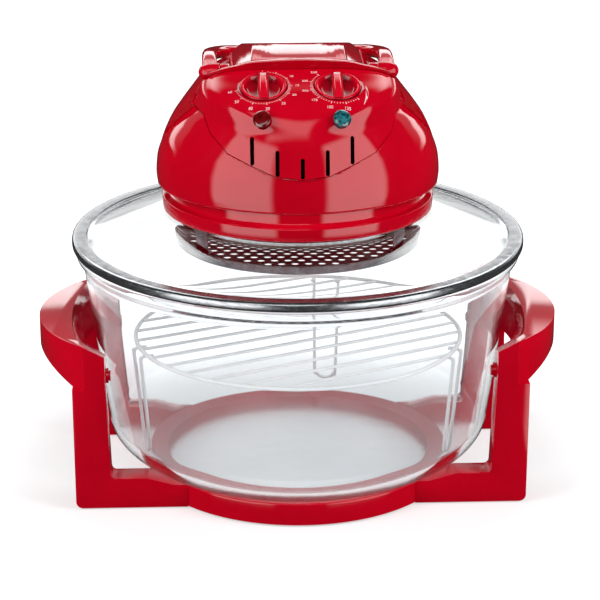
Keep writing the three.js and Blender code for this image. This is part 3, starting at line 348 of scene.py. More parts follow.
def finish(name, **sockets):
    """A material with one surface shader whose plain values are set on its own sockets."""
    material = bpy.data.materials.new(name)
    material.use_nodes = True
    tree = material.node_tree
    tree.nodes.clear()
    shader = add(tree, "ShaderNodeBsdfPrincipled")
    for key, value in sockets.items():
        shader.inputs[key.replace("_", " ")].default_value = value
    output = add(tree, "ShaderNodeOutputMaterial")
    tree.links.new(shader.outputs["BSDF"], output.inputs["Surface"])
    return material, tree, shader


def pattern(tree, kind, millimetres, stretch=(1, 1, 1), **inputs):
    """A texture on object coordinates with features of a size in mm."""
    place = add(tree, "ShaderNodeTexCoord")
    scale = add(tree, "ShaderNodeMapping", {"Vector": place.outputs["Object"], "Scale": stretch})
    return add(tree, kind, {"Vector": scale.outputs["Vector"], "Scale": 1 / (millimetres * MM), **inputs})


def ranged(tree, value, low, high):
    """A texture's 0 to 1 brought between two values."""
    return add(tree, "ShaderNodeMapRange", {"Value": value, "To Min": low, "To Max": high}).outputs["Result"]


def tinted(tree, value, low, high):
    """A texture's middle range turned into a blend of two hex colours."""
    spread = add(tree, "ShaderNodeValToRGB", {"Fac": value})
    for stop, place, colour in zip(spread.color_ramp.elements, (0.3, 0.7), (low, high)):
        stop.position = place
        stop.color = linear(colour)
    return spread.outputs["Color"]


def bumped(tree, shader, height, millimetres, strength=1.0):
    """A bump of a height in mm on the shader."""
    bump = add(tree, "ShaderNodeBump", {"Height": height, "Distance": millimetres * MM, "Strength": strength})
    tree.links.new(bump.outputs["Normal"], shader.inputs["Normal"])


def gloss_abs(name, low, high, roughness, painted_shade_reach=0.0):
    """Injection-moulded ABS: even saturated colour, mirror gloss, and the slow waviness of a cooled skin. Given a reach
    in mm, painted shade darkens the colour where other surfaces come near, as down in a dish.
    """
    material, tree, shader = finish(name, IOR=1.46, Specular_IOR_Level=0.42)
    cloud = pattern(tree, "ShaderNodeTexNoise", 38, Detail=2.0)
    colour = tinted(tree, cloud.outputs["Fac"], low, high)
    if painted_shade_reach:
        # Painted shade: ambient occlusion within the reach, raised to a power, darkens the base colour
        shade = add(tree, "ShaderNodeAmbientOcclusion", {"Distance": painted_shade_reach * MM}, samples=12).outputs["AO"]
        deep = maths(tree, "POWER", shade, 1.8)
        colour = add(tree, "ShaderNodeVectorMath", {0: colour, "Scale": deep}, operation="SCALE").outputs["Vector"]
    tree.links.new(colour, shader.inputs["Base Color"])
    haze = pattern(tree, "ShaderNodeTexNoise", 9, Detail=3.0)
    tree.links.new(ranged(tree, haze.outputs["Fac"], roughness * 0.75, roughness * 1.3), shader.inputs["Roughness"])
    skin = pattern(tree, "ShaderNodeTexNoise", 14, Detail=1.0)
    bumped(tree, shader, skin.outputs["Fac"], 0.05, 0.3)
    return material


PRESSED_LOW, PRESSED_TOP = 26, 44


def clear_glass(name, waviness, clear, deep, ripple=0.0):
    """Heat-resistant glass: very smooth, a faint body tint, slow waves, and close ripples where a floor was pressed."""
    material, tree, shader = finish(name, IOR=1.45, Roughness=0.0, Transmission_Weight=1.0)
    cloud = pattern(tree, "ShaderNodeTexNoise", 60, Detail=1.0)
    tree.links.new(tinted(tree, cloud.outputs["Fac"], clear, deep), shader.inputs["Base Color"])
    waves = pattern(tree, "ShaderNodeTexNoise", waviness, Detail=0.0)
    height = waves.outputs["Fac"]
    if ripple:
        place = add(tree, "ShaderNodeTexCoord").outputs["Object"]
        rise = add(tree, "ShaderNodeSeparateXYZ", {0: place}).outputs["Z"]
        floor = add(tree, "ShaderNodeMapRange", {"Value": rise, "From Min": PRESSED_TOP * MM, "From Max": PRESSED_LOW * MM},
                    interpolation_type="SMOOTHSTEP").outputs[0]
        close = pattern(tree, "ShaderNodeTexNoise", waviness / 2.4, Detail=0.0).outputs["Fac"]
        height = maths(tree, "ADD", height, maths(tree, "MULTIPLY", maths(tree, "MULTIPLY", close, floor), ripple))
        tree.links.new(maths(tree, "MULTIPLY", floor, 0.22), shader.inputs["Roughness"])
    bumped(tree, shader, height, 0.12, 0.25)
    return material


def worked_metal(name, low, high, roughness, grain, stretch=(1, 1, 1), metallic=1.0):
    """Rolled, drawn or plated metal: its grain runs in streaks that are a little duller than the rest."""
    material, tree, shader = finish(name, Metallic=metallic)
    streaks = pattern(tree, "ShaderNodeTexNoise", grain, stretch, Detail=4.0)
    tree.links.new(tinted(tree, streaks.outputs["Fac"], low, high), shader.inputs["Base Color"])
    tree.links.new(ranged(tree, streaks.outputs["Fac"], roughness * 0.6, roughness * 1.5), shader.inputs["Roughness"])
    bumped(tree, shader, streaks.outputs["Fac"], 0.02, 0.3)
    return material


def dull_skin(name, low, high, roughness, grain, depth):
    """Textured moulding, rubber, ink or fired ceramic: a fine even grain under a dull skin."""
    material, tree, shader = finish(name)
    cloud = pattern(tree, "ShaderNodeTexNoise", grain * 6, Detail=3.0)
    tree.links.new(tinted(tree, cloud.outputs["Fac"], low, high), shader.inputs["Base Color"])
    tree.links.new(ranged(tree, cloud.outputs["Fac"], roughness * 0.9, min(1, roughness * 1.1)),
                   shader.inputs["Roughness"])
    pits = pattern(tree, "ShaderNodeTexNoise", grain, Detail=2.0)
    bumped(tree, shader, pits.outputs["Fac"], depth, 0.6)
    return material


def core_stack(name):
    """Stacked core plates: thin dark edges one over the other, drawn 3 mm apart so that they show."""
    material, tree, shader = finish(name, Metallic=0.9)
    sheets = pattern(tree, "ShaderNodeTexWave", 3.2, (1, 1, 1), Distortion=0.3)
    sheets.bands_direction = "Z"
    tree.links.new(tinted(tree, sheets.outputs["Fac"], "#3A3A3C", "#77787A"), shader.inputs["Base Color"])
    tree.links.new(ranged(tree, sheets.outputs["Fac"], 0.35, 0.6), shader.inputs["Roughness"])
    bumped(tree, shader, sheets.outputs["Fac"], 0.1)
    return material


def lamp_lens(name, low, high, grain, depth):
    """Faceted styrene pilot lens: a deep clear colour with light and dark flecks painted into it over the small moulded
    prisms, as painted glints; the prisms also bump the surface.
    """
    material, tree, shader = finish(name, IOR=1.55, Roughness=0.08, Coat_Weight=0.5)
    prisms_and_glints = pattern(tree, "ShaderNodeTexVoronoi", grain)
    # Painted glints: the prism cells turn the lens colour light and dark
    tree.links.new(tinted(tree, prisms_and_glints.outputs["Distance"], low, high), shader.inputs["Base Color"])
    bumped(tree, shader, prisms_and_glints.outputs["Distance"], depth, 0.5)
    return material


# Deep red ABS, polished tool: colour stays even and the gloss carries long white reflections
red_abs = gloss_abs("polished_red_abs", "#C4001C", "#CC0220", 0.06)
# The knobs' ABS is a touch lighter, so that they stand out from the panel, and painted shade darkens it down in their
# dishes
knob_abs = gloss_abs("polished_red_knob_abs", "#D00220", "#DA0626", 0.1, 9)
# Pressed borosilicate: thick enough to grey what is seen through it
bowl_glass = clear_glass("pressed_borosilicate", 34, "#F9FBFC", "#F5F8FA", 2)
# Tempered soda glass sagged over a former: flatter, with longer waves
lid_glass = clear_glass("sagged_tempered_glass", 70, "#FBFCFC", "#F8FAFA")
# Rolled stainless band: satin round the lid, so it reads as light grey rather than as a mirror
rim_steel = worked_metal("rolled_stainless_band", "#7A7C7F", "#A2A4A6", 0.22, 6, (1, 1, 6), 0.9)
# Perforated guard plate: a dull near-black sheet that the white holes stand out from
guard_steel = worked_metal("dull_dark_guard_plate", "#141414", "#222222", 0.45, 4, metallic=0.3)
# Spun guard hoop, still bright
hoop_steel = worked_metal("bright_spun_hoop", "#4E4F51", "#6C6D6F", 0.16, 5)
zinc_steel = worked_metal("zinc_plated_sheet", "#B4B6B8", "#D2D4D6", 0.22, 3)
# Nickel-plated rack wire: bright lines through the glass
rack_steel = worked_metal("nickel_plated_wire", "#F1F2F3", "#FAFAFB", 0.5, 12, metallic=0.3)
brown_steel = worked_metal("heat_browned_sheet", "#4A4440", "#6E6762", 0.35, 8)
core_steel = core_stack("core_plates")
copper = worked_metal("enamelled_copper_winding", "#8A3F1C", "#B8622F", 0.3, 0.6, (1, 1, 8))
quartz = dull_skin("frosted_quartz_tube", "#E9E6DC", "#F6F3EA", 0.25, 3, 0.02)
ceramic = dull_skin("unglazed_ceramic", "#DDD6C6", "#ECE7DB", 0.75, 0.5, 0.05)
rubber = dull_skin("matt_black_rubber", "#161617", "#222224", 0.85, 0.6, 0.05)
white_mould = dull_skin("off_white_nylon", "#DEDBD0", "#E9E7DF", 0.5, 0.8, 0.03)
black_mould = dull_skin("black_nylon", "#1A1A1C", "#27272A", 0.5, 0.8, 0.03)
# Each lens: its own deep colour, and a lighter one that paints the glints of its prisms
red_lens = lamp_lens("dark_red_styrene_lens", "#520005", "#74080E", 6, 0.1)
green_lens = lamp_lens("sea_green_styrene_lens", "#0C3A40", "#2C7A80", 2.6, 0.2)
# Pad-printed ink: opaque white with a slightly uneven edge to its gloss
print_white = dull_skin("pad_printed_white_ink", "#F4D8DA", "#FFF2F2", 0.45, 0.5, 0.005)

BY_SLOT = {
    "red_shell": red_abs, "knob_red": knob_abs, "bowl_glass": bowl_glass, "lid_glass": lid_glass,
    "rim_steel": rim_steel, "guard_steel": guard_steel, "bright_steel": zinc_steel, "rack_wire": rack_steel,
    "dark_steel": brown_steel, "stator_steel": core_steel, "coil_copper": copper, "lamp_quartz": quartz,
    "ceramic": ceramic, "foot_rubber": rubber, "timer_case": white_mould, "black_plastic": black_mould,
    "red_lens": red_lens, "green_lens": green_lens,
}
for node, solid in frame["nodes"].items():
    for slot in solid.material_slots:
        slot.material = BY_SLOT[SLOTS[node]]


# Stand

WALL = 2.4
RING_RADIUS = most("base_ring").x
RING_TOP = most("base_ring").z
RING_LOW = least("base_ring").z
RING_WIDTH = 14.2
RING_SEAT = 3
RING_STEP = 2


def make_base_ring():
    inner = RING_RADIUS - RING_WIDTH
    ring = turned("base_ring_look", rounded([
        (RING_RADIUS - WALL, RING_LOW), (RING_RADIUS, RING_LOW, 0), (RING_RADIUS, RING_TOP, 1.6),
        (inner + RING_SEAT, RING_TOP - RING_STEP, 0.6), (inner, RING_TOP - RING_STEP, 0.4), (inner, RING_LOW, 0),
        (inner + WALL, RING_LOW, 0), (inner + WALL, RING_TOP - RING_STEP - WALL, 0.6),
        (RING_RADIUS - WALL, RING_TOP - RING_STEP - WALL / 2)]), 160)
    placed(softened(ring, 0, 1, 40), "base_ring", red_abs)


GRIP_TOP = most("right_frame").z
GRIP_REACH = most("right_frame").x
LEG_FRONT = most("right_frame").y
LEG_INNER = 59.5
LEG_LOW = least("right_frame").z
GRIP_HEIGHT = 33.5
GRIP_HOLE = 165.5
GRIP_END = 158
GRIP_WALL = 4
POST_IN, POST_OUT, POST_LEAN = 142.8, 166.8, 2.2
BAR_TOP, BAR_END_TOP, BAR_END, BAR_RAMP = 24, 18.4, 94.5, 114
BAR_WALL = 3
TAB_IN, TAB_OUT, TAB_TOP, TAB_WIDTH = 82.5, 101.5, 3.8, 12
NUB_TIP, NUB_Y, NUB_HEIGHT, NUB_RADIUS = 139.2, 63.5, 100, 5.5
FOOT_HEIGHT = most("foot_1").z


def grip_outline(inset):
    """The crescent seen from above: an outer arc, and an inner one round the bowl."""
    half = LEG_FRONT if not inset else LEG_INNER - inset
    bow = (LEG_FRONT ** 2 + (GRIP_REACH - GRIP_END) ** 2) / (2 * (GRIP_REACH - GRIP_END))
    swing = math.degrees(math.asin(half / (bow - inset)))
    outer = arc((GRIP_REACH - bow, 0), bow - inset, -swing, swing, 48)
    turn = math.degrees(math.asin(min(half, LEG_INNER) / (GRIP_HOLE + inset)))
    inner = arc((0, 0), GRIP_HOLE + inset, turn, -turn, 40)
    if inset:
        return outer + inner
    return outer + [(POST_IN, half), (POST_IN, LEG_INNER)] + inner + [(POST_IN, -LEG_INNER), (POST_IN, -half)]


def grip_slope():
    """The room over the slope that falls from the grip's flat top to the bowl, steepest at the middle."""
    crest, draw, steep, easy = 170, 11.5, 1.3, 0.53
    rings = []
    for k in range(-32, 33):
        share = abs(k) / 32
        y = k / 32 * (LEG_FRONT + 1)
        edge = crest - draw * share ** 2
        low = edge - 2 * GRIP_HEIGHT
        fall = steep + (easy - steep) * smoothstep(share, 0, 1)
        rings.append([(edge, y, GRIP_TOP), (edge, y, GRIP_TOP + GRIP_HEIGHT), (low, y, GRIP_TOP + GRIP_HEIGHT),
                      (low, y, GRIP_TOP - fall * (edge - low))])
    return lofted("slope", rings)


def leg_outline():
    """A post on a bar, seen from the front."""
    post_top, corner, fillet, foot = GRIP_TOP - GRIP_HEIGHT, 5, 4, POST_IN - POST_LEAN
    return ([(BAR_END - 10.7, LEG_LOW)] + arc((POST_OUT - corner, LEG_LOW + corner), corner, -90, 0, 10)
            + [(POST_OUT, post_top), (POST_IN, post_top)]
            + arc((foot - fillet, BAR_TOP + fillet), fillet, 0, -90, 10)
            + [(BAR_RAMP, BAR_TOP), (BAR_END, BAR_END_TOP), (BAR_END - 10.7, BAR_END_TOP)])


def make_frame(side, node):
    def upright(outline, y):
        return [(side * x, y, z) for x, z in outline]

    floor = GRIP_TOP - GRIP_HEIGHT
    grip = extruded(node + "_look", [(side * x, y, floor) for x, y in grip_outline(0)], (0, 0, GRIP_HEIGHT))
    hollow = [(side * x, y, floor - 1) for x, y in grip_outline(GRIP_WALL)]
    combine(grip, extruded("hollow", hollow, (0, 0, GRIP_HEIGHT + 1 - GRIP_WALL)))
    slope = grip_slope()
    slope.data.transform(Matrix.Scale(side, 4, (1, 0, 0)))
    combine(grip, settle(slope))
    under = [(POST_OUT, floor), (POST_OUT + GRIP_HEIGHT, floor + 0.48 * GRIP_HEIGHT),
             (POST_OUT + GRIP_HEIGHT, floor - GRIP_HEIGHT), (POST_OUT, floor - GRIP_HEIGHT)]
    combine(grip, extruded("under", upright(under, -2 * LEG_FRONT), (0, 4 * LEG_FRONT, 0)))
    for end in (-1, 1):
        near, far = sorted((end * LEG_INNER, end * LEG_FRONT))
        leg = extruded("leg", upright(leg_outline(), near), (0, far - near, 0))
        inside = [(BAR_END + BAR_WALL, LEG_LOW - 1), (POST_IN - BAR_WALL, LEG_LOW - 1),
                  (POST_IN - BAR_WALL, BAR_TOP - BAR_WALL), (BAR_RAMP, BAR_TOP - BAR_WALL),
                  (BAR_END + BAR_WALL, BAR_END_TOP - BAR_WALL)]
        depth = far - near - 2 * BAR_WALL
        combine(leg, extruded("inside", upright(inside, near + BAR_WALL), (0, depth, 0)))
        combine(grip, leg, "UNION")
    combine(grip, rod("ring_room", (0, 0, -1), (0, 0, BAR_TOP + 1), RING_RADIUS + 0.3, 192))
    softened(grip, 1.0, 3, 32)
    for end in (-1, 1):
        nub = rod("nub", (side * (POST_IN + 0.5), end * NUB_Y, NUB_HEIGHT),
                  (side * (NUB_TIP + 1.6), end * NUB_Y, NUB_HEIGHT), NUB_RADIUS, 40)
        tip = rod("tip", (side * POST_IN, end * NUB_Y, NUB_HEIGHT), (side * NUB_TIP, end * NUB_Y, NUB_HEIGHT),
                  0.7 * NUB_RADIUS, 40)
        combine(grip, nub, "UNION")
        combine(grip, tip, "UNION")
        middle = end * (LEG_INNER + LEG_FRONT) / 2
        combine(grip, slab("tab", (side * TAB_IN, middle - TAB_WIDTH / 2, LEG_LOW),
                           (side * TAB_OUT, middle + TAB_WIDTH / 2, TAB_TOP)), "UNION")
        combine(grip, rod("seat", (side * 154, end * 69, -1), (side * 154, end * 69, FOOT_HEIGHT + 0.3), 6.8, 40))
    placed(softened(grip, 0, 1, 34), node, red_abs)


def make_feet():
    for k in range(1, 5):
        node = f"foot_{k}"
        middle = (least(node) + most(node)) / 2
        radius = (most(node).x - least(node).x) / 2
        foot = rod(node + "_look", (middle.x, middle.y, 0), (middle.x, middle.y, FOOT_HEIGHT), radius, 40)
        placed(softened(foot, 0.5, 2), node, rubber)


# Bowl and rack

BOWL_LIP = most("glass_bowl").x
BOWL_TOP = most("glass_bowl").z
BOWL_FLOOR = least("glass_bowl").z
BOWL_WALL = 5
FLOOR_RADIUS, WAIST_RADIUS, WAIST_HEIGHT = 81.8, 144.8, 51.3
NECK_RADIUS, NECK_HEIGHT = 160.3, 172
LIP_LOW, LIP_INNER = 177.6, 155.9


def make_bowl():
    outer, inner = [], []
    across, rise = WAIST_RADIUS - FLOOR_RADIUS, WAIST_HEIGHT - BOWL_FLOOR
    steps = 24
    for k in range(steps + 1):
        s, c = math.sin(k / steps * TURN / 4), math.cos(k / steps * TURN / 4)
        out = Vector((s / across, -c / rise)).normalized()
        outer.append((FLOOR_RADIUS + across * s, WAIST_HEIGHT - rise * c))
        inner.append(tuple(Vector(outer[-1]) - BOWL_WALL * out))
    lip = rounded([
        outer[-1], (NECK_RADIUS, NECK_HEIGHT, 3), (BOWL_LIP, LIP_LOW, 2), (BOWL_LIP, BOWL_TOP, 2.4),
        (LIP_INNER, BOWL_TOP, 2.4), (NECK_RADIUS - BOWL_WALL, NECK_HEIGHT, 3), inner[-1]])
    floor = FLOOR_RADIUS * 0.7
    profile = [(0, BOWL_FLOOR), (floor, BOWL_FLOOR)] + outer[:-1] + lip + inner[-2::-1]
    profile += [(floor, BOWL_FLOOR + BOWL_WALL), (0, BOWL_FLOOR + BOWL_WALL)]
    placed(softened(turned("glass_bowl_look", profile, 176), 0, 1, 40), "glass_bowl", bowl_glass)


WIRE = 1.6
RACK_RADIUS = most("rack_grid").x - WIRE
RACK_HEIGHT = most("rack_grid").z - WIRE
RACK_TURN, RACK_PITCH = 27, 20
LEG_TURNS = (-23, 77, 197)


def make_rack():
    ring = [(x, y, RACK_HEIGHT) for x, y in arc((0, 0), RACK_RADIUS, 0, 360, 120)[:-1]]
    along = Vector((math.cos(math.radians(RACK_TURN)), math.sin(math.radians(RACK_TURN)), 0))
    across = Vector((-along.y, along.x, 0))
    rods = []
    for k in range(-5, 6):
        half = math.sqrt(RACK_RADIUS ** 2 - (RACK_PITCH * k) ** 2)
        middle = across * RACK_PITCH * k + Vector((0, 0, RACK_HEIGHT))
        rods.append([middle - along * half, middle + along * half])
    placed(softened(wires("rack_ring_look", [ring], WIRE, True, 4)), "rack_grid", rack_steel)
    added(softened(wires("rack_rods_look", rods, 0.75 * WIRE)), "rack_grid", rack_steel)
    top, foot, bend = least("rack_leg_1").z, 29.6, 8.6
    height = RACK_HEIGHT - 1.5 * WIRE
    for k, degrees in enumerate(LEG_TURNS):
        drop = [(RACK_RADIUS - 7, 10, height), (RACK_RADIUS, 10, height), (RACK_RADIUS + 2.3, 10, height - 2.3),
                (RACK_RADIUS + 2.3, 10, height - 7), (RACK_RADIUS - 3, bend, foot + bend)]
        heel = [(RACK_RADIUS - 3, y, z) for y, z in arc((0, foot + bend), bend, -160, -20, 6)]
        route = drop[:-1] + [drop[-1]] + heel[::-1] + [(r, -y, z) for r, y, z in drop[::-1]]
        turn = Matrix.Rotation(math.radians(degrees), 3, "Z")
        leg = wires(f"rack_leg_{k + 1}_look", [[turn @ p for p in curve(route, 6)]], 0.8 * WIRE)
        placed(softened(leg), f"rack_leg_{k + 1}", rack_steel)


# Lid

BAND_RADIUS = most("lid_rim").x
BAND_TOP, BAND_LOW = most("lid_rim").z, least("lid_rim").z
BAND_WIDTH, BAND_SHEET = 10.5, 0.8
LID_EDGE = most("lid_glass").x
LID_TOP = most("lid_glass").z
LID_GLASS, LID_FLAT, LID_CROWN, LID_HOLE = 4.7, 10.86, 92.2, 80
LID_SHARES = [(1, 0), (0.907, 0.09), (0.514, 0.535), (0.149, 0.91), (0, 1)]


def make_lid():
    edge_top = BAND_TOP - BAND_SHEET - 0.3
    flat = LID_EDGE - LID_FLAT
    slope = [(LID_CROWN + across * (flat - LID_CROWN), edge_top + up * (LID_TOP - edge_top)) for across, up in LID_SHARES]
    top = [tuple(point) for point in curve(slope, 8)]
    under = [(r, z - LID_GLASS) for r, z in top[::-1]]
    profile = rounded([(flat + 1, edge_top), (LID_EDGE, edge_top, 0.8), (LID_EDGE, edge_top - LID_GLASS, 0.8),
                       (flat + 1, edge_top - LID_GLASS)])
    profile = [(LID_HOLE, LID_TOP)] + top[::-1] + profile + under[::-1] + [(LID_HOLE, LID_TOP - LID_GLASS)]
    glass = turned("lid_glass_look", profile, 176)
    placed(softened(glass, 0, 1, 40), "lid_glass", lid_glass)
    inside, lip = BAND_RADIUS - BAND_SHEET, BAND_RADIUS - 0.7 * BAND_WIDTH
    band = turned("lid_rim_look", rounded([
        (BAND_RADIUS - BAND_WIDTH, BAND_TOP - BAND_SHEET), (BAND_RADIUS - BAND_WIDTH, BAND_TOP, 0.4),
        (BAND_RADIUS, BAND_TOP, 3.2), (BAND_RADIUS, BAND_LOW, 2), (lip, BAND_LOW, 0.2), (lip, BAND_LOW + BAND_SHEET, 0.2),
        (inside, BAND_LOW + BAND_SHEET, 0.6), (inside, BAND_TOP - BAND_SHEET, 0.6),
        (BAND_RADIUS - BAND_WIDTH + 1, BAND_TOP - BAND_SHEET)], 8), 176)
    placed(softened(band, 0, 1, 35), "lid_rim", rim_steel)


# Head: the same outlines as the CAD's, as shares of the height, then of the half width and the front depth

DOME_LOW = least("front_cover").z
DOME_HEIGHT, HALF_WIDTH, FRONT_DEPTH = 89.8, 104.3, 93.5
PLATEAU = DOME_LOW + 83.8
SHELL = 2.6
COVER = [(0, 0.992, 1), (0.087, 1, 0.998), (0.2, 0.993, 0.99), (0.354, 0.954, 0.96), (0.532, 0.844, 0.924),
         (0.66, 0.74, 0.88), (0.75, 0.683, 0.826), (0.833, 0.647, 0.735), (0.944, 0.585, 0.468), (1, 0.537, 0.33)]
PANEL = [(0.087, 1.016, 1.015), (0.2, 1.009, 1.007), (0.354, 0.97, 0.978), (0.532, 0.86, 0.941),
         (0.66, 0.768, 0.898), (0.75, 0.722, 0.845), (0.833, 0.7, 0.754), (0.944, 0.652, 0.487), (1, 0.6, 0.348)]
REAR = [(0, 0.983, 1.074), (0.087, 0.99, 1.083), (0.2, 0.987, 1.079), (0.354, 0.954, 1.043), (0.532, 0.887, 0.97),
        (0.66, 0.812, 0.888), (0.75, 0.75, 0.82), (0.833, 0.69, 0.755), (0.944, 0.561, 0.613), (1, 0.46, 0.503)]
PANEL_SQUARE = 1.3
PANEL_TILT = math.radians(15.5)
PANEL_UP = Vector((0, math.sin(PANEL_TILT), math.cos(PANEL_TILT)))
PANEL_OUT = Vector((0, -math.cos(PANEL_TILT), math.sin(PANEL_TILT)))
PANEL_FOOT = DOME_LOW * math.cos(PANEL_TILT) - 1.03
PANEL_HALF, PANEL_HEIGHT = 71, 72.4
SHIELD = [(0, 0), (0.268, 0.036), (0.507, 0.147), (0.732, 0.267), (0.901, 0.468), (0.965, 0.652)]
SPLIT_LOW, SPLIT_RUN = 14, -46.5
SEAT_RADIUS, SEAT_HEIGHT = 90.8, 3
DIAL_X, DIAL_Y, DIAL_TILT = 26.2, -53, math.radians(21.5)
DIAL_HEIGHT = DOME_LOW + 81.7
KNOB_RADIUS, KNOB_HEIGHT, CUP_DEPTH, KNOB_STEM = 16.4, 7, 6.4, 3
LAMP_X, LAMP_Y, LAMP_TILT, LAMP_TURN = 27.6, -79.6, math.radians(52), math.radians(17)
LAMP_HEIGHT = DOME_LOW + 64.7
LAMP_RADIUS, LAMP_LIP = 6.4, 1.1
PIVOT_X, PIVOT_Y, PIVOT_HEIGHT = 57, -20, PLATEAU + 1.4
HUB_RADIUS, HUB_LENGTH, PIN_RADIUS, LUG_RADIUS, LUG_ROOT = 6.5, 15, 2, 6, 50.5


def smoothstep(value, low, high):
    t = min(1, max(0, (value - low) / (high - low)))
    return t * t * (3 - 2 * t)


def eased(rows, height):
    """The rows' shares at a height, on a cubic line that keeps between its neighbours."""
    k = max(i for i in range(len(rows) - 1) if rows[i][0] <= height + 1e-9)
    run = rows[k + 1][0] - rows[k][0]
    t = (height - rows[k][0]) / run
    found = []
    for axis in (1, 2):
        rises = [(b[axis] - a[axis]) / (b[0] - a[0]) for a, b in zip(rows, rows[1:])]
        slopes = []
        for here in (k, k + 1):
            before, after = rises[max(0, here - 1)], rises[min(here, len(rises) - 1)]
            slopes.append(2 * before * after / (before + after) if before * after > 0 else 0)
        start, end = rows[k][axis], rows[k + 1][axis]
        found.append(start + (end - start) * t * t * (3 - 2 * t)
                     + run * (slopes[0] * t * (1 - t) ** 2 - slopes[1] * t * t * (1 - t)))
    return found


def dome(name, rows, inset=0.0, low=0.0, square=0.5, around=176, up=60):
    """The head's outline as a stack of squared ovals, with a flat cap at each end."""
    rings = []
    for k in range(up + 1):
        share = rows[0][0] + (1 - rows[0][0]) * k / up
        side_share, front_share = eased(rows, share)
        fold = smoothstep(share, 0.62, 0.86)
        z = max(DOME_LOW + DOME_HEIGHT * share - inset * fold, low + 0.002 * k)
        trim = inset * (1 - 0.6 * fold)
        side, front = HALF_WIDTH * side_share - trim, FRONT_DEPTH * front_share - trim
        power = 2 + square * smoothstep(share, 0.6, 0.9)
        rings.append([(side * x, front * y, z) for x, y in squared(power, around)])
    return lofted(name, rings)


def squared(power, around):
    """A unit circle drawn out towards a square by its power."""
    points = []
    for i in range(around):
        c, s = math.cos(TURN * i / around), math.sin(TURN * i / around)
        bulge = (abs(c) ** power + abs(s) ** power) ** (-1 / power)
        points.append((c * bulge, s * bulge))
    return points


def half_space(name, front, clearance):
    """Everything before or behind the slanting joint between the cover and the rear shell."""
    far, edge = (-260, -clearance) if front else (260, clearance)
    ends = [(z, SPLIT_LOW + SPLIT_RUN * (z - DOME_LOW) / DOME_HEIGHT + edge) for z in (130, 420)]
    outline = [(-260, y, z) for z, y in ends] + [(-260, far, 420), (-260, far, 130)]
    return extruded(name, outline, (520, 0, 0))


def on_panel(x, up, out=18):
    """A point of the shield's own plane: across, along its rise, and out of it."""
    return Vector((x, 0, 0)) + PANEL_UP * up + PANEL_OUT * out


def through_panel(name, outline):
    """An outline on the shield's plane, drawn out through the head's front."""
    return extruded(name, [on_panel(x, up) for x, up in outline], PANEL_OUT * 225)


def shield(name, room):
    """The shield outline of the control panel: a tongue at the bottom and flanks that run out at the top."""
    half = [(across * PANEL_HALF, PANEL_FOOT + up * PANEL_HEIGHT) for across, up in SHIELD]
    half = [(x + (room if x else 0), up - room) for x, up in half]
    half += [(PANEL_HALF * 1.1 + room, PANEL_FOOT + 0.8 * PANEL_HEIGHT), (PANEL_HALF * 1.1 + room, 315)]
    return through_panel(name, half + [(-x, up) for x, up in half[:0:-1]])


def dial_place(side):
    """The place of a dial in mm: origin on the panel's face, Z out of it."""
    return Matrix.Translation((side * DIAL_X, DIAL_Y, DIAL_HEIGHT)) @ Matrix.Rotation(DIAL_TILT, 4, "X")


def lamp_place(side):
    turn = Matrix.Rotation(side * LAMP_TURN, 4, "Z") @ Matrix.Rotation(LAMP_TILT, 4, "X")
    return Matrix.Translation((side * LAMP_X, LAMP_Y, LAMP_HEIGHT)) @ turn


def rod_at(place, name, low, high, radius, sides=48):
    return rod(name, place @ Vector((0, 0, low)), place @ Vector((0, 0, high)), radius, sides)


def seat_room():
    return rod("seat_room", (0, 0, DOME_LOW - 10), (0, 0, DOME_LOW + SEAT_HEIGHT), SEAT_RADIUS, 160)


def make_front_cover():
    cover = dome("front_cover_look", COVER)
    combine(cover, dome("hollow", COVER, SHELL, DOME_LOW + SEAT_HEIGHT))
    combine(cover, half_space("front_half", True, 0.15), "INTERSECT")
    combine(cover, seat_room())
    combine(cover, shield("shield_room", 0.3))
    placed(softened(cover, 0.5, 2, 34), "front_cover", red_abs)


def vent_outline(k):
    """One of five upright slots, longer towards the middle, with rounded ends."""
    low = PANEL_FOOT + PANEL_HEIGHT * (0.008, 0.036, 0.147)[abs(k)]
    high = PANEL_FOOT + PANEL_HEIGHT * (0.208, 0.286, 0.421)[abs(k)]
    x, half = k * 17.5, 1.4
    return arc((x, high - half), half, 0, 180, 8) + arc((x, low + half), half, 180, 360, 8)


def make_panel():
    panel = dome("control_panel_look", PANEL, square=PANEL_SQUARE)
    hollow = dome("hollow", PANEL, SHELL, square=PANEL_SQUARE)
    combine(hollow, half_space("back_room", True, SHELL), "INTERSECT")
    combine(panel, hollow)
    combine(panel, seat_room())
    for side in (-1, 1):
        combine(panel, rod_at(dial_place(side), "cup", -CUP_DEPTH - 1.8, -1.6, KNOB_RADIUS + WALL), "UNION")
    combine(panel, half_space("front_half", True, 0.15), "INTERSECT")
    combine(panel, shield("shield_body", 0), "INTERSECT")
    for side in (-1, 1):
        combine(panel, rod_at(dial_place(side), "well", -CUP_DEPTH, 12, KNOB_RADIUS + 0.6, 96))
        combine(panel, rod_at(dial_place(side), "stem_hole", -12, 0, KNOB_STEM + 0.3))
        combine(panel, rod_at(lamp_place(side), "lamp_hole", -9, 9, LAMP_RADIUS - LAMP_LIP + 0.3))
    for k in range(-2, 3):
        combine(panel, through_panel("vent", vent_outline(k)))
    return placed(softened(panel, 0.4, 2, 34), "control_panel", red_abs)


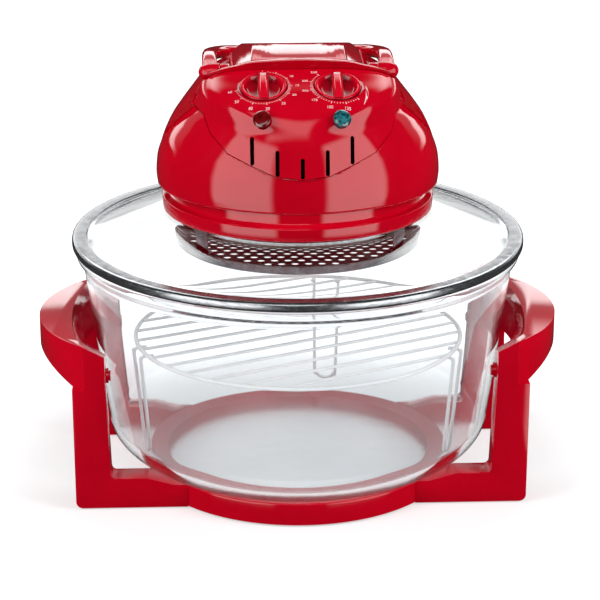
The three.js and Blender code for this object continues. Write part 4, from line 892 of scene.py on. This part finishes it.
def make_rear_shell():
    shell = dome("rear_shell_look", REAR)
    hollow = dome("hollow", REAR, SHELL, DOME_LOW + SEAT_HEIGHT)
    combine(hollow, half_space("behind_flange", False, 2.4), "INTERSECT")
    combine(hollow, dome("mouth", COVER, SHELL, DOME_LOW + SEAT_HEIGHT), "UNION")
    combine(hollow, slab("plateau_room", (-120, -120, 200), (120, 120, PLATEAU - SHELL)), "INTERSECT")
    combine(shell, slab("under_plateau", (-200, -200, 100), (200, 200, PLATEAU)), "INTERSECT")
    combine(shell, half_space("rear_half", False, 0.15), "INTERSECT")
    combine(shell, hollow)
    combine(shell, seat_room())
    for side in (-1, 1):
        def level(x):
            return (side * x, PIVOT_Y, PIVOT_HEIGHT)
        combine(shell, rod("lug_room", level(LUG_ROOT - 0.3), level(PIVOT_X), LUG_RADIUS + 0.3, 48))
        combine(shell, rod("hub_room", level(PIVOT_X - 0.3), level(HALF_WIDTH), HUB_RADIUS + 0.8, 48))
        combine(shell, slab("arm_room", (side * (PIVOT_X - 0.3), PIVOT_Y, PLATEAU - 0.8),
                            (side * HALF_WIDTH, 0, PLATEAU + HUB_RADIUS)))
        combine(shell, rod("pin_room", level(LUG_ROOT + 0.7), level(HALF_WIDTH), PIN_RADIUS + 0.3, 24))
    combine(shell, rod("cord_room", (0, 75, DOME_LOW + 13.8), (0, 208, DOME_LOW + 13.8), 6.3, 32))
    placed(softened(shell, 0.5, 2, 34), "rear_shell", red_abs)


def make_head_base():
    """The floor, flange and skirt that the shells stand on."""
    low, top, flange = least("head_base").z, most("head_base").z, most("head_base").x
    skirt, spigot, sheet = 93.2, 90.2, 2.8
    base = turned("head_base_look", rounded([
        (22, low), (flange, low, 1.2), (flange, low + 9.8, 1.2), (skirt + 1.6, low + 9.8, 0.8), (skirt, low + 11.4, 0.8),
        (skirt, top - 5, 0.2), (spigot, top - 5, 0), (spigot, top, 0.2), (spigot - sheet, top, 0.2),
        (spigot - sheet, low + WALL, 0.6), (22, low + WALL)]), 176)
    placed(softened(base, 0, 1, 40), "head_base", red_abs)


# Top cover: a crown, a side and a plan outline kept where all three agree, and the visor over the panel

HUMP_HALF, HUMP_FRONT, HUMP_BACK, HUMP_HEIGHT = 50, -29, 53, 13.7
HUMP_CROWN = [(1, 0.22), (0.9, 0.52), (0.7, 0.78), (0.4, 0.94), (0, 1)]
HUMP_SIDE = [(0, 0.68), (0.03, 0.84), (0.1, 0.94), (0.3, 1), (0.55, 0.96), (0.78, 0.72), (0.92, 0.42), (1, 0.1)]
HUMP_PLAN = [(1, 0), (1, 0.62), (0.8, 0.82), (0.5, 0.95), (0, 1)]
VISOR_HALF, VISOR_HEIGHT = 66, 12.8
VISOR = [(1, 0.12), (0.97, 0.24), (0.83, 0.47), (0.7, 0.63), (0.53, 0.85), (0.26, 0.95), (0, 1)]


def eased_half(shares, across, up, base):
    """Half an outline through shares of a width and a height, eased between them and never over the top."""
    points = [(x * across, y) for x, y in shares]
    full = curve(points + [(-points[-2][0], points[-2][1])], 5)[:-5]
    return [(max(x, 0), base + min(y, 1) * up) for x, y in full]


def hump(name, inset):
    base, top = PLATEAU + 0.3, HUMP_HEIGHT - inset
    half, front, back = HUMP_HALF - inset, HUMP_FRONT + inset, HUMP_BACK - inset
    foot = base - (1 if inset else 0)
    crown = mirrored([(half, foot)] + eased_half(HUMP_CROWN, half, top, base))
    body = extruded(name, [(x, front, z) for x, z in crown], (0, back - front, 0))
    side = [(front + along * (back - front), base + min(up, 1) * top) for along, up in curve(HUMP_SIDE, 5)]
    combine(body, extruded("side", [(-half, y, z) for y, z in [(front, foot)] + side + [(back, foot)]], (2 * half, 0, 0)),
            "INTERSECT")
    plan = [(half, front)] + [(x, front + (y - base)) for x, y in eased_half(HUMP_PLAN[1:], half, back - front, base)]
    combine(body, extruded("plan", [(x, y, foot) for x, y in mirrored(plan)], (0, 0, 2 * HUMP_HEIGHT)), "INTERSECT")
    return body


def make_top_cover():
    cover = hump("top_cover_look", 0)
    softened(cover, 1.4, 3, 40)
    combine(cover, hump("under", WALL))
    base = PLATEAU + 0.3
    brow = mirrored([(VISOR_HALF, base)] + eased_half(VISOR, VISOR_HALF, VISOR_HEIGHT, base))
    back = PIVOT_Y - HUB_RADIUS - 0.6
    visor = extruded("visor", [(x, -70, z) for x, z in brow], (0, back + 70, 0))
    combine(visor, half_space("behind_panel", False, 0.45), "INTERSECT")
    softened(visor, 0.9, 3, 50)
    combine(cover, visor, "UNION")
    settle(cover)
    placed(softened(cover, 0, 1, 40), "top_cover", red_abs)


# Handle, knobs, lamps and print


def make_handle():
    arm, reach, rise, drop = PIVOT_X + 7, 78, PLATEAU + 5, 7.5
    low = rise - 2
    half = [(0, reach, low - drop), (arm * 0.6, reach * 0.945, low - drop), (arm * 0.82, reach * 0.815, low - 0.7 * drop),
            (arm * 0.965, reach * 0.52, low - 0.2 * drop), (arm, reach * 0.2, rise), (arm, reach * -0.07, rise),
            (arm, PIVOT_Y, PIVOT_HEIGHT + 1.4)]
    route = curve([(-x, y, z) for x, y, z in half[:0:-1]] + half, 8)
    rings = []
    for k, centre in enumerate(route):
        tangent = (route[min(k + 1, len(route) - 1)] - route[max(k - 1, 0)]).normalized()
        across = tangent.cross(Vector((0, 0, 1))).normalized()
        up = across.cross(tangent)
        rings.append([centre + across * 5.4 * u + up * 4.4 * v for u, v in squared(3.6, 24)])
    handle = lofted("carry_handle_look", rings)
    cap = [(0, 1), (0.4, 1), (0.6, 0.96), (0.78, 0.83), (0.91, 0.6), (0.98, 0.3), (1, 0)]
    for side in (-1, 1):
        hub = turned("hub", [(0, 0)] + [(share * HUB_RADIUS, along * HUB_LENGTH) for along, share in cap], 64)
        hub.data.transform(in_metres(Matrix.Translation((side * PIVOT_X, PIVOT_Y, PIVOT_HEIGHT))
                                     @ Matrix.Rotation(side * TURN / 4, 4, "Y")))
        combine(handle, hub, "UNION")
        combine(handle, slab("trim", (side * (PIVOT_X - 11), PIVOT_Y - HUB_RADIUS, PIVOT_HEIGHT - HUB_RADIUS),
                             (side * PIVOT_X, PIVOT_Y + HUB_RADIUS, PIVOT_HEIGHT + HUB_RADIUS)))
        combine(handle, rod("bore", (side * (PIVOT_X - 2), PIVOT_Y, PIVOT_HEIGHT),
                            (side * (PIVOT_X + HUB_LENGTH - HUB_RADIUS + 0.3), PIVOT_Y, PIVOT_HEIGHT), PIN_RADIUS + 0.3, 24))
    placed(softened(handle, 0, 1, 40), "carry_handle", red_abs)
    for word in ("left", "right"):
        placed(softened(copied(f"handle_lug_{word}"), 0.5, 2, 40), f"handle_lug_{word}", red_abs)


KNOB_DISH, KNOB_BAR, KNOB_RIM = 4.6, 8.6, 2.2


def make_knobs():
    """A dished knob with a bar across it, whose back end carries two short white lines."""
    seat = 0.8 - CUP_DEPTH
    top = seat + KNOB_HEIGHT
    bar_top = top + 1.2
    for side, node in ((-1, "timer_knob"), (1, "thermostat_knob")):
        dish = turned(node + "_look", rounded([
            (0, seat), (KNOB_RADIUS - 1, seat, 0.4), (KNOB_RADIUS, seat + KNOB_RIM, 0.6), (KNOB_RADIUS, top, 1),
            (KNOB_RADIUS - KNOB_RIM, top, 0.7), (KNOB_RADIUS - 2.2 * KNOB_RIM, top - 0.8 * KNOB_DISH, 1.2),
            (0, top - KNOB_DISH)]), 96)
        foot, half = top - KNOB_DISH - 0.5, KNOB_BAR / 2
        section = [(half, foot), (half - 0.4, bar_top - half / 2), (half / 2, bar_top)]
        grip = extruded("grip", [(x, -KNOB_RADIUS, z) for x, z in mirrored(section)], (0, 2 * KNOB_RADIUS, 0))
        softened(grip, 0.7, 3, 20)
        combine(grip, rod("round", (0, 0, seat), (0, 0, bar_top + 5), KNOB_RADIUS - 0.3, 96), "INTERSECT")
        combine(dish, grip, "UNION")
        combine(dish, rod("stem", (0, 0, seat - 7), (0, 0, seat + 2), KNOB_STEM, 32), "UNION")
        dish.data.transform(in_metres(dial_place(side)))
        placed(softened(dish, 0.25, 2, 36), node, knob_abs)
        mark = slab(node + "_lines", (-half / 2, KNOB_RADIUS - 3.4, bar_top - 0.1),
                    (half / 2, KNOB_RADIUS - 2.7, bar_top + 0.04))
        marks = repeated(mark, [Matrix.Translation((0, step * 1.2, 0)) for step in (0, -1)])
        marks.name = node + "_lines"
        marks.data.transform(in_metres(dial_place(side)))
        added(marks, node, print_white)


def make_lamps():
    for side, node, lens in ((-1, "red_lens", red_lens), (1, "green_lens", green_lens)):
        neck = LAMP_RADIUS - LAMP_LIP
        cap = turned(node + "_look", rounded([
            (0, -9), (neck, -9, 0), (neck, LAMP_LIP, 0), (LAMP_RADIUS, LAMP_LIP, 0.2), (LAMP_RADIUS, 2 * LAMP_LIP, 0.5),
            (0.78 * LAMP_RADIUS, 3.1, 0.8), (0, 3.6)]), 64)
        cap.data.transform(in_metres(lamp_place(side)))
        placed(softened(cap, 0, 1, 40), node, lens)


def laid_on(piece, ground, place):
    """Transfers a flat print from a dial's plane onto the panel: each point keeps its height over the surface."""
    inward = -(place.to_3x3() @ Vector((0, 0, 1)))
    for vertex in piece.data.vertices:
        local = vertex.co / MM
        start = place @ Vector((local.x, local.y, 9)) * MM
        hit, spot, _, _ = ground.ray_cast(start, inward)
        if hit:
            vertex.co = spot - inward * local.z * MM
        else:
            vertex.co = place @ local * MM
    return piece


def figure(text, x, y, height):
    """A printed figure as a thin mesh on a dial's plane."""
    deselect()
    bpy.ops.object.text_add(location=(0, 0, 0))
    piece = bpy.context.object
    piece.data.body = text
    piece.data.size = height * MM * 1.35
    piece.data.align_x = "CENTER"
    piece.data.align_y = "CENTER"
    piece.data.extrude = 0.05 * MM
    bpy.ops.object.convert(target="MESH")
    piece = bpy.context.object
    piece.data.transform(Matrix.Translation((x * MM, y * MM, 0.02 * MM)))
    return settle(piece)


TICK_RADIUS, FIGURE_RADIUS, FIGURE_HEIGHT = 19.4, 23.8, 2.3
TIMER_FIGURES = ["60", "50", "40", "30", "25", "20", "15", "10"]
HEAT_FIGURES = ["250", "225", "200", "175", "150", "125"]


def dial_print(side, node, figures, start, pitch, dots, extra):
    """Ticks with their figures, the dots between them, and a plain tick or two past the last figure."""
    pieces = []
    dashes, spots = [], []
    for k in range(len(figures) + extra):
        angle = math.radians(start + pitch * k)
        turn = Matrix.Rotation(angle, 4, "Z") @ Matrix.Translation((TICK_RADIUS, 0, 0))
        dashes.append(turn)
        if k < len(figures):
            x, y = FIGURE_RADIUS * math.cos(angle), FIGURE_RADIUS * math.sin(angle)
            pieces.append(figure(figures[k], x, y, FIGURE_HEIGHT))
        if k < len(figures) + extra - 1:
            for j in range(1, dots + 1):
                between = math.radians(start + pitch * (k + j / (dots + 1)))
                spots.append(Matrix.Rotation(between, 4, "Z") @ Matrix.Translation((TICK_RADIUS - 0.4, 0, 0)))
    pieces.append(repeated(slab("tick", (-1.0, -0.22, -0.05), (1.0, 0.22, 0.08)), dashes))
    pieces.append(repeated(slab("dot", (-0.5, -0.18, -0.05), (0.5, 0.18, 0.08)), spots))
    prints = joined(pieces)
    prints.name = node + "_scale"
    return prints


def heat_wedge():
    """The crescent at the low end of the heat scale, that swings outwards from the ticks."""
    start, swing, drift, thick = 5, -50, 5, 1.5
    outer, inner = [], []
    for k in range(17):
        t = k / 16
        angle = math.radians(start + swing * t)
        far = TICK_RADIUS + 0.6 + drift * t
        near = far - 0.2 - thick * math.sin(math.pi * t)
        outer.append((far * math.cos(angle), far * math.sin(angle), -0.05))
        inner.append((near * math.cos(angle), near * math.sin(angle), -0.05))
    return extruded("heat_wedge", outer + inner[::-1], (0, 0, 0.13))


def make_prints(panel):
    for side, node, figures, start, pitch, dots, extra in (
            (-1, "timer", TIMER_FIGURES, 188, 29.2, 4, 2), (1, "thermostat", HEAT_FIGURES, 133, 30.3, 4, 1)):
        prints = dial_print(side, node, figures, start, pitch, dots, extra)
        if side > 0:
            prints = joined([prints, heat_wedge()])
        added(laid_on(prints, panel, dial_place(side)), "control_panel", print_white)


# Heating chamber


def make_guard():
    low, high, radius = least("heater_guard").z, most("heater_guard").z, most("heater_guard").x
    plate = turned("heater_guard_look", [(0, low), (radius, low), (radius, high), (0, high)], 128)
    pitch, hole, reach = 9.6, 3.0, 0.905 * radius
    places = []
    for row in range(-12, 13):
        for column in range(-12, 13):
            x, y = (column + (row % 2) / 2) * pitch, row * pitch * math.sin(math.radians(60))
            if math.hypot(x, y) < reach:
                places.append(Matrix.Translation((x, y, 0)))
    combine(plate, repeated(rod("punch", (0, 0, low - 1), (0, 0, high + 1), hole, 14), places))
    placed(softened(plate, 0, 1, 30), "heater_guard", guard_steel)
    low, high, radius = least("guard_rim").z, most("guard_rim").z, most("guard_rim").x
    sheet = 1.1
    rim = turned("guard_rim_look", rounded([
        (radius - 3.6, low + 2.2), (radius - 3.6, low + sheet, 0.3), (radius - 1.8, low, 0.8), (radius, low + 0.4, 1),
        (radius, high, 0.5), (radius - sheet, high, 0.5), (radius - sheet, low + 2.2)]), 160)
    placed(softened(rim, 0, 1, 35), "guard_rim", hoop_steel)


def make_chamber():
    low, top, radius = least("reflector_pan").z, most("reflector_pan").z, most("reflector_pan").x
    sheet, bore = 0.8, 7.3
    pan = turned("reflector_pan_look", rounded([
        (bore, top - sheet), (radius - sheet, top - sheet, 1.6), (radius - sheet, low, 0), (radius, low, 0),
        (radius, top, 2.4), (bore, top)]), 144)
    placed(softened(pan, 0, 1, 30), "reflector_pan", brown_steel)
    low, top, radius = least("clamp_ring").z, most("clamp_ring").z, most("clamp_ring").x
    clamp = turned("clamp_ring_look", [(78.3, low), (radius, low), (radius, top), (78.3, top)], 144)
    placed(softened(clamp, 0.2, 2, 30), "clamp_ring", zinc_steel)
    for k in range(1, 5):
        node = f"guard_bracket_{k}"
        placed(softened(copied(node, 0.4), 0.3, 2, 30), node, hoop_steel)


# Studio


def seen_rays(tree):
    """1 for what the camera sees straight or through glass."""
    path = add(tree, "ShaderNodeLightPath").outputs
    return maths(tree, "MAXIMUM", path["Is Camera Ray"], path["Is Transmission Ray"]), path["Is Glossy Ray"]


def make_floor():
    """A pale table that keeps the soft shadow near the object and runs out to white further off."""
    deselect()
    bpy.ops.mesh.primitive_plane_add(size=9, location=(0, 1.5, -0.0002))
    floor = bpy.context.object
    floor.name = "studio_floor"
    material = bpy.data.materials.new("white_sweep")
    material.use_nodes = True
    tree = material.node_tree
    tree.nodes.clear()
    matt = add(tree, "ShaderNodeBsdfDiffuse", {"Color": linear("#C8C8C9")})
    place = add(tree, "ShaderNodeTexCoord").outputs["Object"]
    flat = add(tree, "ShaderNodeVectorMath", {0: place}, operation="LENGTH").outputs["Value"]
    away = add(tree, "ShaderNodeMapRange", {"Value": flat, "From Min": 0.17, "From Max": 0.34, "To Min": 0.48, "To Max": 1.0},
               interpolation_type="SMOOTHSTEP").outputs[0]
    seen, _ = seen_rays(tree)
    glow = add(tree, "ShaderNodeEmission", {"Strength": maths(tree, "MULTIPLY", seen, away)})
    both = add(tree, "ShaderNodeAddShader", {0: matt.outputs[0], 1: glow.outputs[0]})
    output = add(tree, "ShaderNodeOutputMaterial")
    tree.links.new(both.outputs[0], output.inputs["Surface"])
    floor.data.materials.append(material)
    floor.visible_glossy = False
    take(floor)
    bpy.ops.object.transform_apply(location=True)


def softbox(name, place, target, size, power):
    light = bpy.data.lights.new(name, "AREA")
    light.shape = "RECTANGLE"
    light.size, light.size_y = size
    light.energy = power
    lamp = bpy.data.objects.new(name, light)
    lamp.location = place
    lamp.rotation_euler = (Vector(target) - Vector(place)).to_track_quat("-Z", "Y").to_euler()
    lamp.visible_glossy = False
    lamp.visible_camera = False
    lamp.visible_transmission = False
    bpy.context.scene.collection.objects.link(lamp)


def make_world():
    """What the gloss reflects: a white back wall, a bright bank over it, a soft box overhead and two at the front."""
    world = bpy.data.worlds.new("studio")
    bpy.context.scene.world = world
    world.use_nodes = True
    tree = world.node_tree
    tree.nodes.clear()
    place = add(tree, "ShaderNodeTexCoord")
    x, y, z = add(tree, "ShaderNodeSeparateXYZ", {0: place.outputs["Generated"]}).outputs

    def window(value, low, high, soft):
        rise = add(tree, "ShaderNodeMapRange", {"Value": value, "From Min": low - soft, "From Max": low + soft},
                   interpolation_type="SMOOTHSTEP")
        fall = add(tree, "ShaderNodeMapRange", {"Value": value, "From Min": high - soft, "From Max": high + soft,
                                                "To Min": 1.0, "To Max": 0.0}, interpolation_type="SMOOTHSTEP")
        return maths(tree, "MULTIPLY", rise.outputs[0], fall.outputs[0])

    def light(level, *windows):
        for one in windows:
            level = maths(tree, "MULTIPLY", one, level)
        return level

    over = maths(tree, "MULTIPLY", maths(tree, "ARCTAN2", z, y), 180 / math.pi)
    bearing = maths(tree, "MULTIPLY", maths(tree, "ARCTAN2", x, maths(tree, "MULTIPLY", y, -1.0)), 180 / math.pi)
    aside = maths(tree, "ABSOLUTE", bearing)
    wall = light(3.2, window(over, 8, 16.5, 1.5), window(x, -0.8, 0.8, 0.1))
    haze = light(0.35, window(over, 16.5, 30, 1.5), window(x, -0.8, 0.8, 0.1))
    bank = light(2.9, window(over, 30, 50, 5), window(x, -0.5, 0.5, 0.08))
    sides = light(2.6, window(aside, 138, 168, 4), window(z, 0.4, 0.75, 0.05))
    nose = light(2.8, window(over, 130, 156, 6), window(x, -0.5, 0.14, 0.05))
    slant = maths(tree, "SUBTRACT", z, maths(tree, "MULTIPLY", aside, 0.006))
    front = light(4.2, window(aside, 20, 68, 3), window(z, -0.33, 1, 0.03), window(slant, -2, 0.14, 0.04),
                  window(y, -2, -0.1, 0.05))
    glossy = 0.024
    for part in (wall, haze, bank, sides, nose, front):
        glossy = maths(tree, "ADD", part, glossy)
    seen, gloss = seen_rays(tree)
    other = maths(tree, "ADD", maths(tree, "MULTIPLY", gloss, glossy),
                  maths(tree, "MULTIPLY", maths(tree, "SUBTRACT", 1.0, gloss), 0.24))
    level = maths(tree, "ADD", seen, maths(tree, "MULTIPLY", maths(tree, "SUBTRACT", 1.0, seen), other))
    back = add(tree, "ShaderNodeBackground", {"Color": linear("#FFFFFF"), "Strength": level})
    output = add(tree, "ShaderNodeOutputWorld")
    tree.links.new(back.outputs[0], output.inputs["Surface"])


def make_camera():
    camera = bpy.data.cameras.new("camera")
    camera.lens = 124.68
    camera.sensor_width = 36
    eye = bpy.data.objects.new("camera", camera)
    eye.location = (-0.05856, -1.48152, 0.65576)
    eye.rotation_euler = (math.radians(90 - 19.382), 0, math.radians(-2.33))
    bpy.context.scene.collection.objects.link(eye)
    bpy.context.scene.camera = eye


make_camera()
make_world()
softbox("left_softbox", (-1.2, -0.5, 0.95), (0, 0, 0.2), (0.8, 1.0), 14)
softbox("right_softbox", (1.2, -0.5, 0.95), (0, 0, 0.2), (0.8, 1.0), 15)
softbox("top_softbox", (0, 0.1, 1.6), (0, 0, 0.2), (1.2, 1.2), 1.5)
softbox("front_softbox", (0, -1.6, 0.9), (0, 0, 0.15), (0.8, 0.6), 3)
make_floor()
make_base_ring()
make_frame(-1, "left_frame")
make_frame(1, "right_frame")
make_feet()
make_bowl()
make_rack()
make_lid()
make_head_base()
make_front_cover()
make_prints(make_panel())
make_rear_shell()
make_top_cover()
make_handle()
make_knobs()
make_lamps()
make_guard()
make_chamber()

for name in ("glass_bowl_look", "lid_glass_look"):
    bpy.data.objects[name].visible_shadow = False

bpy.context.scene.view_settings.view_transform = "Standard"
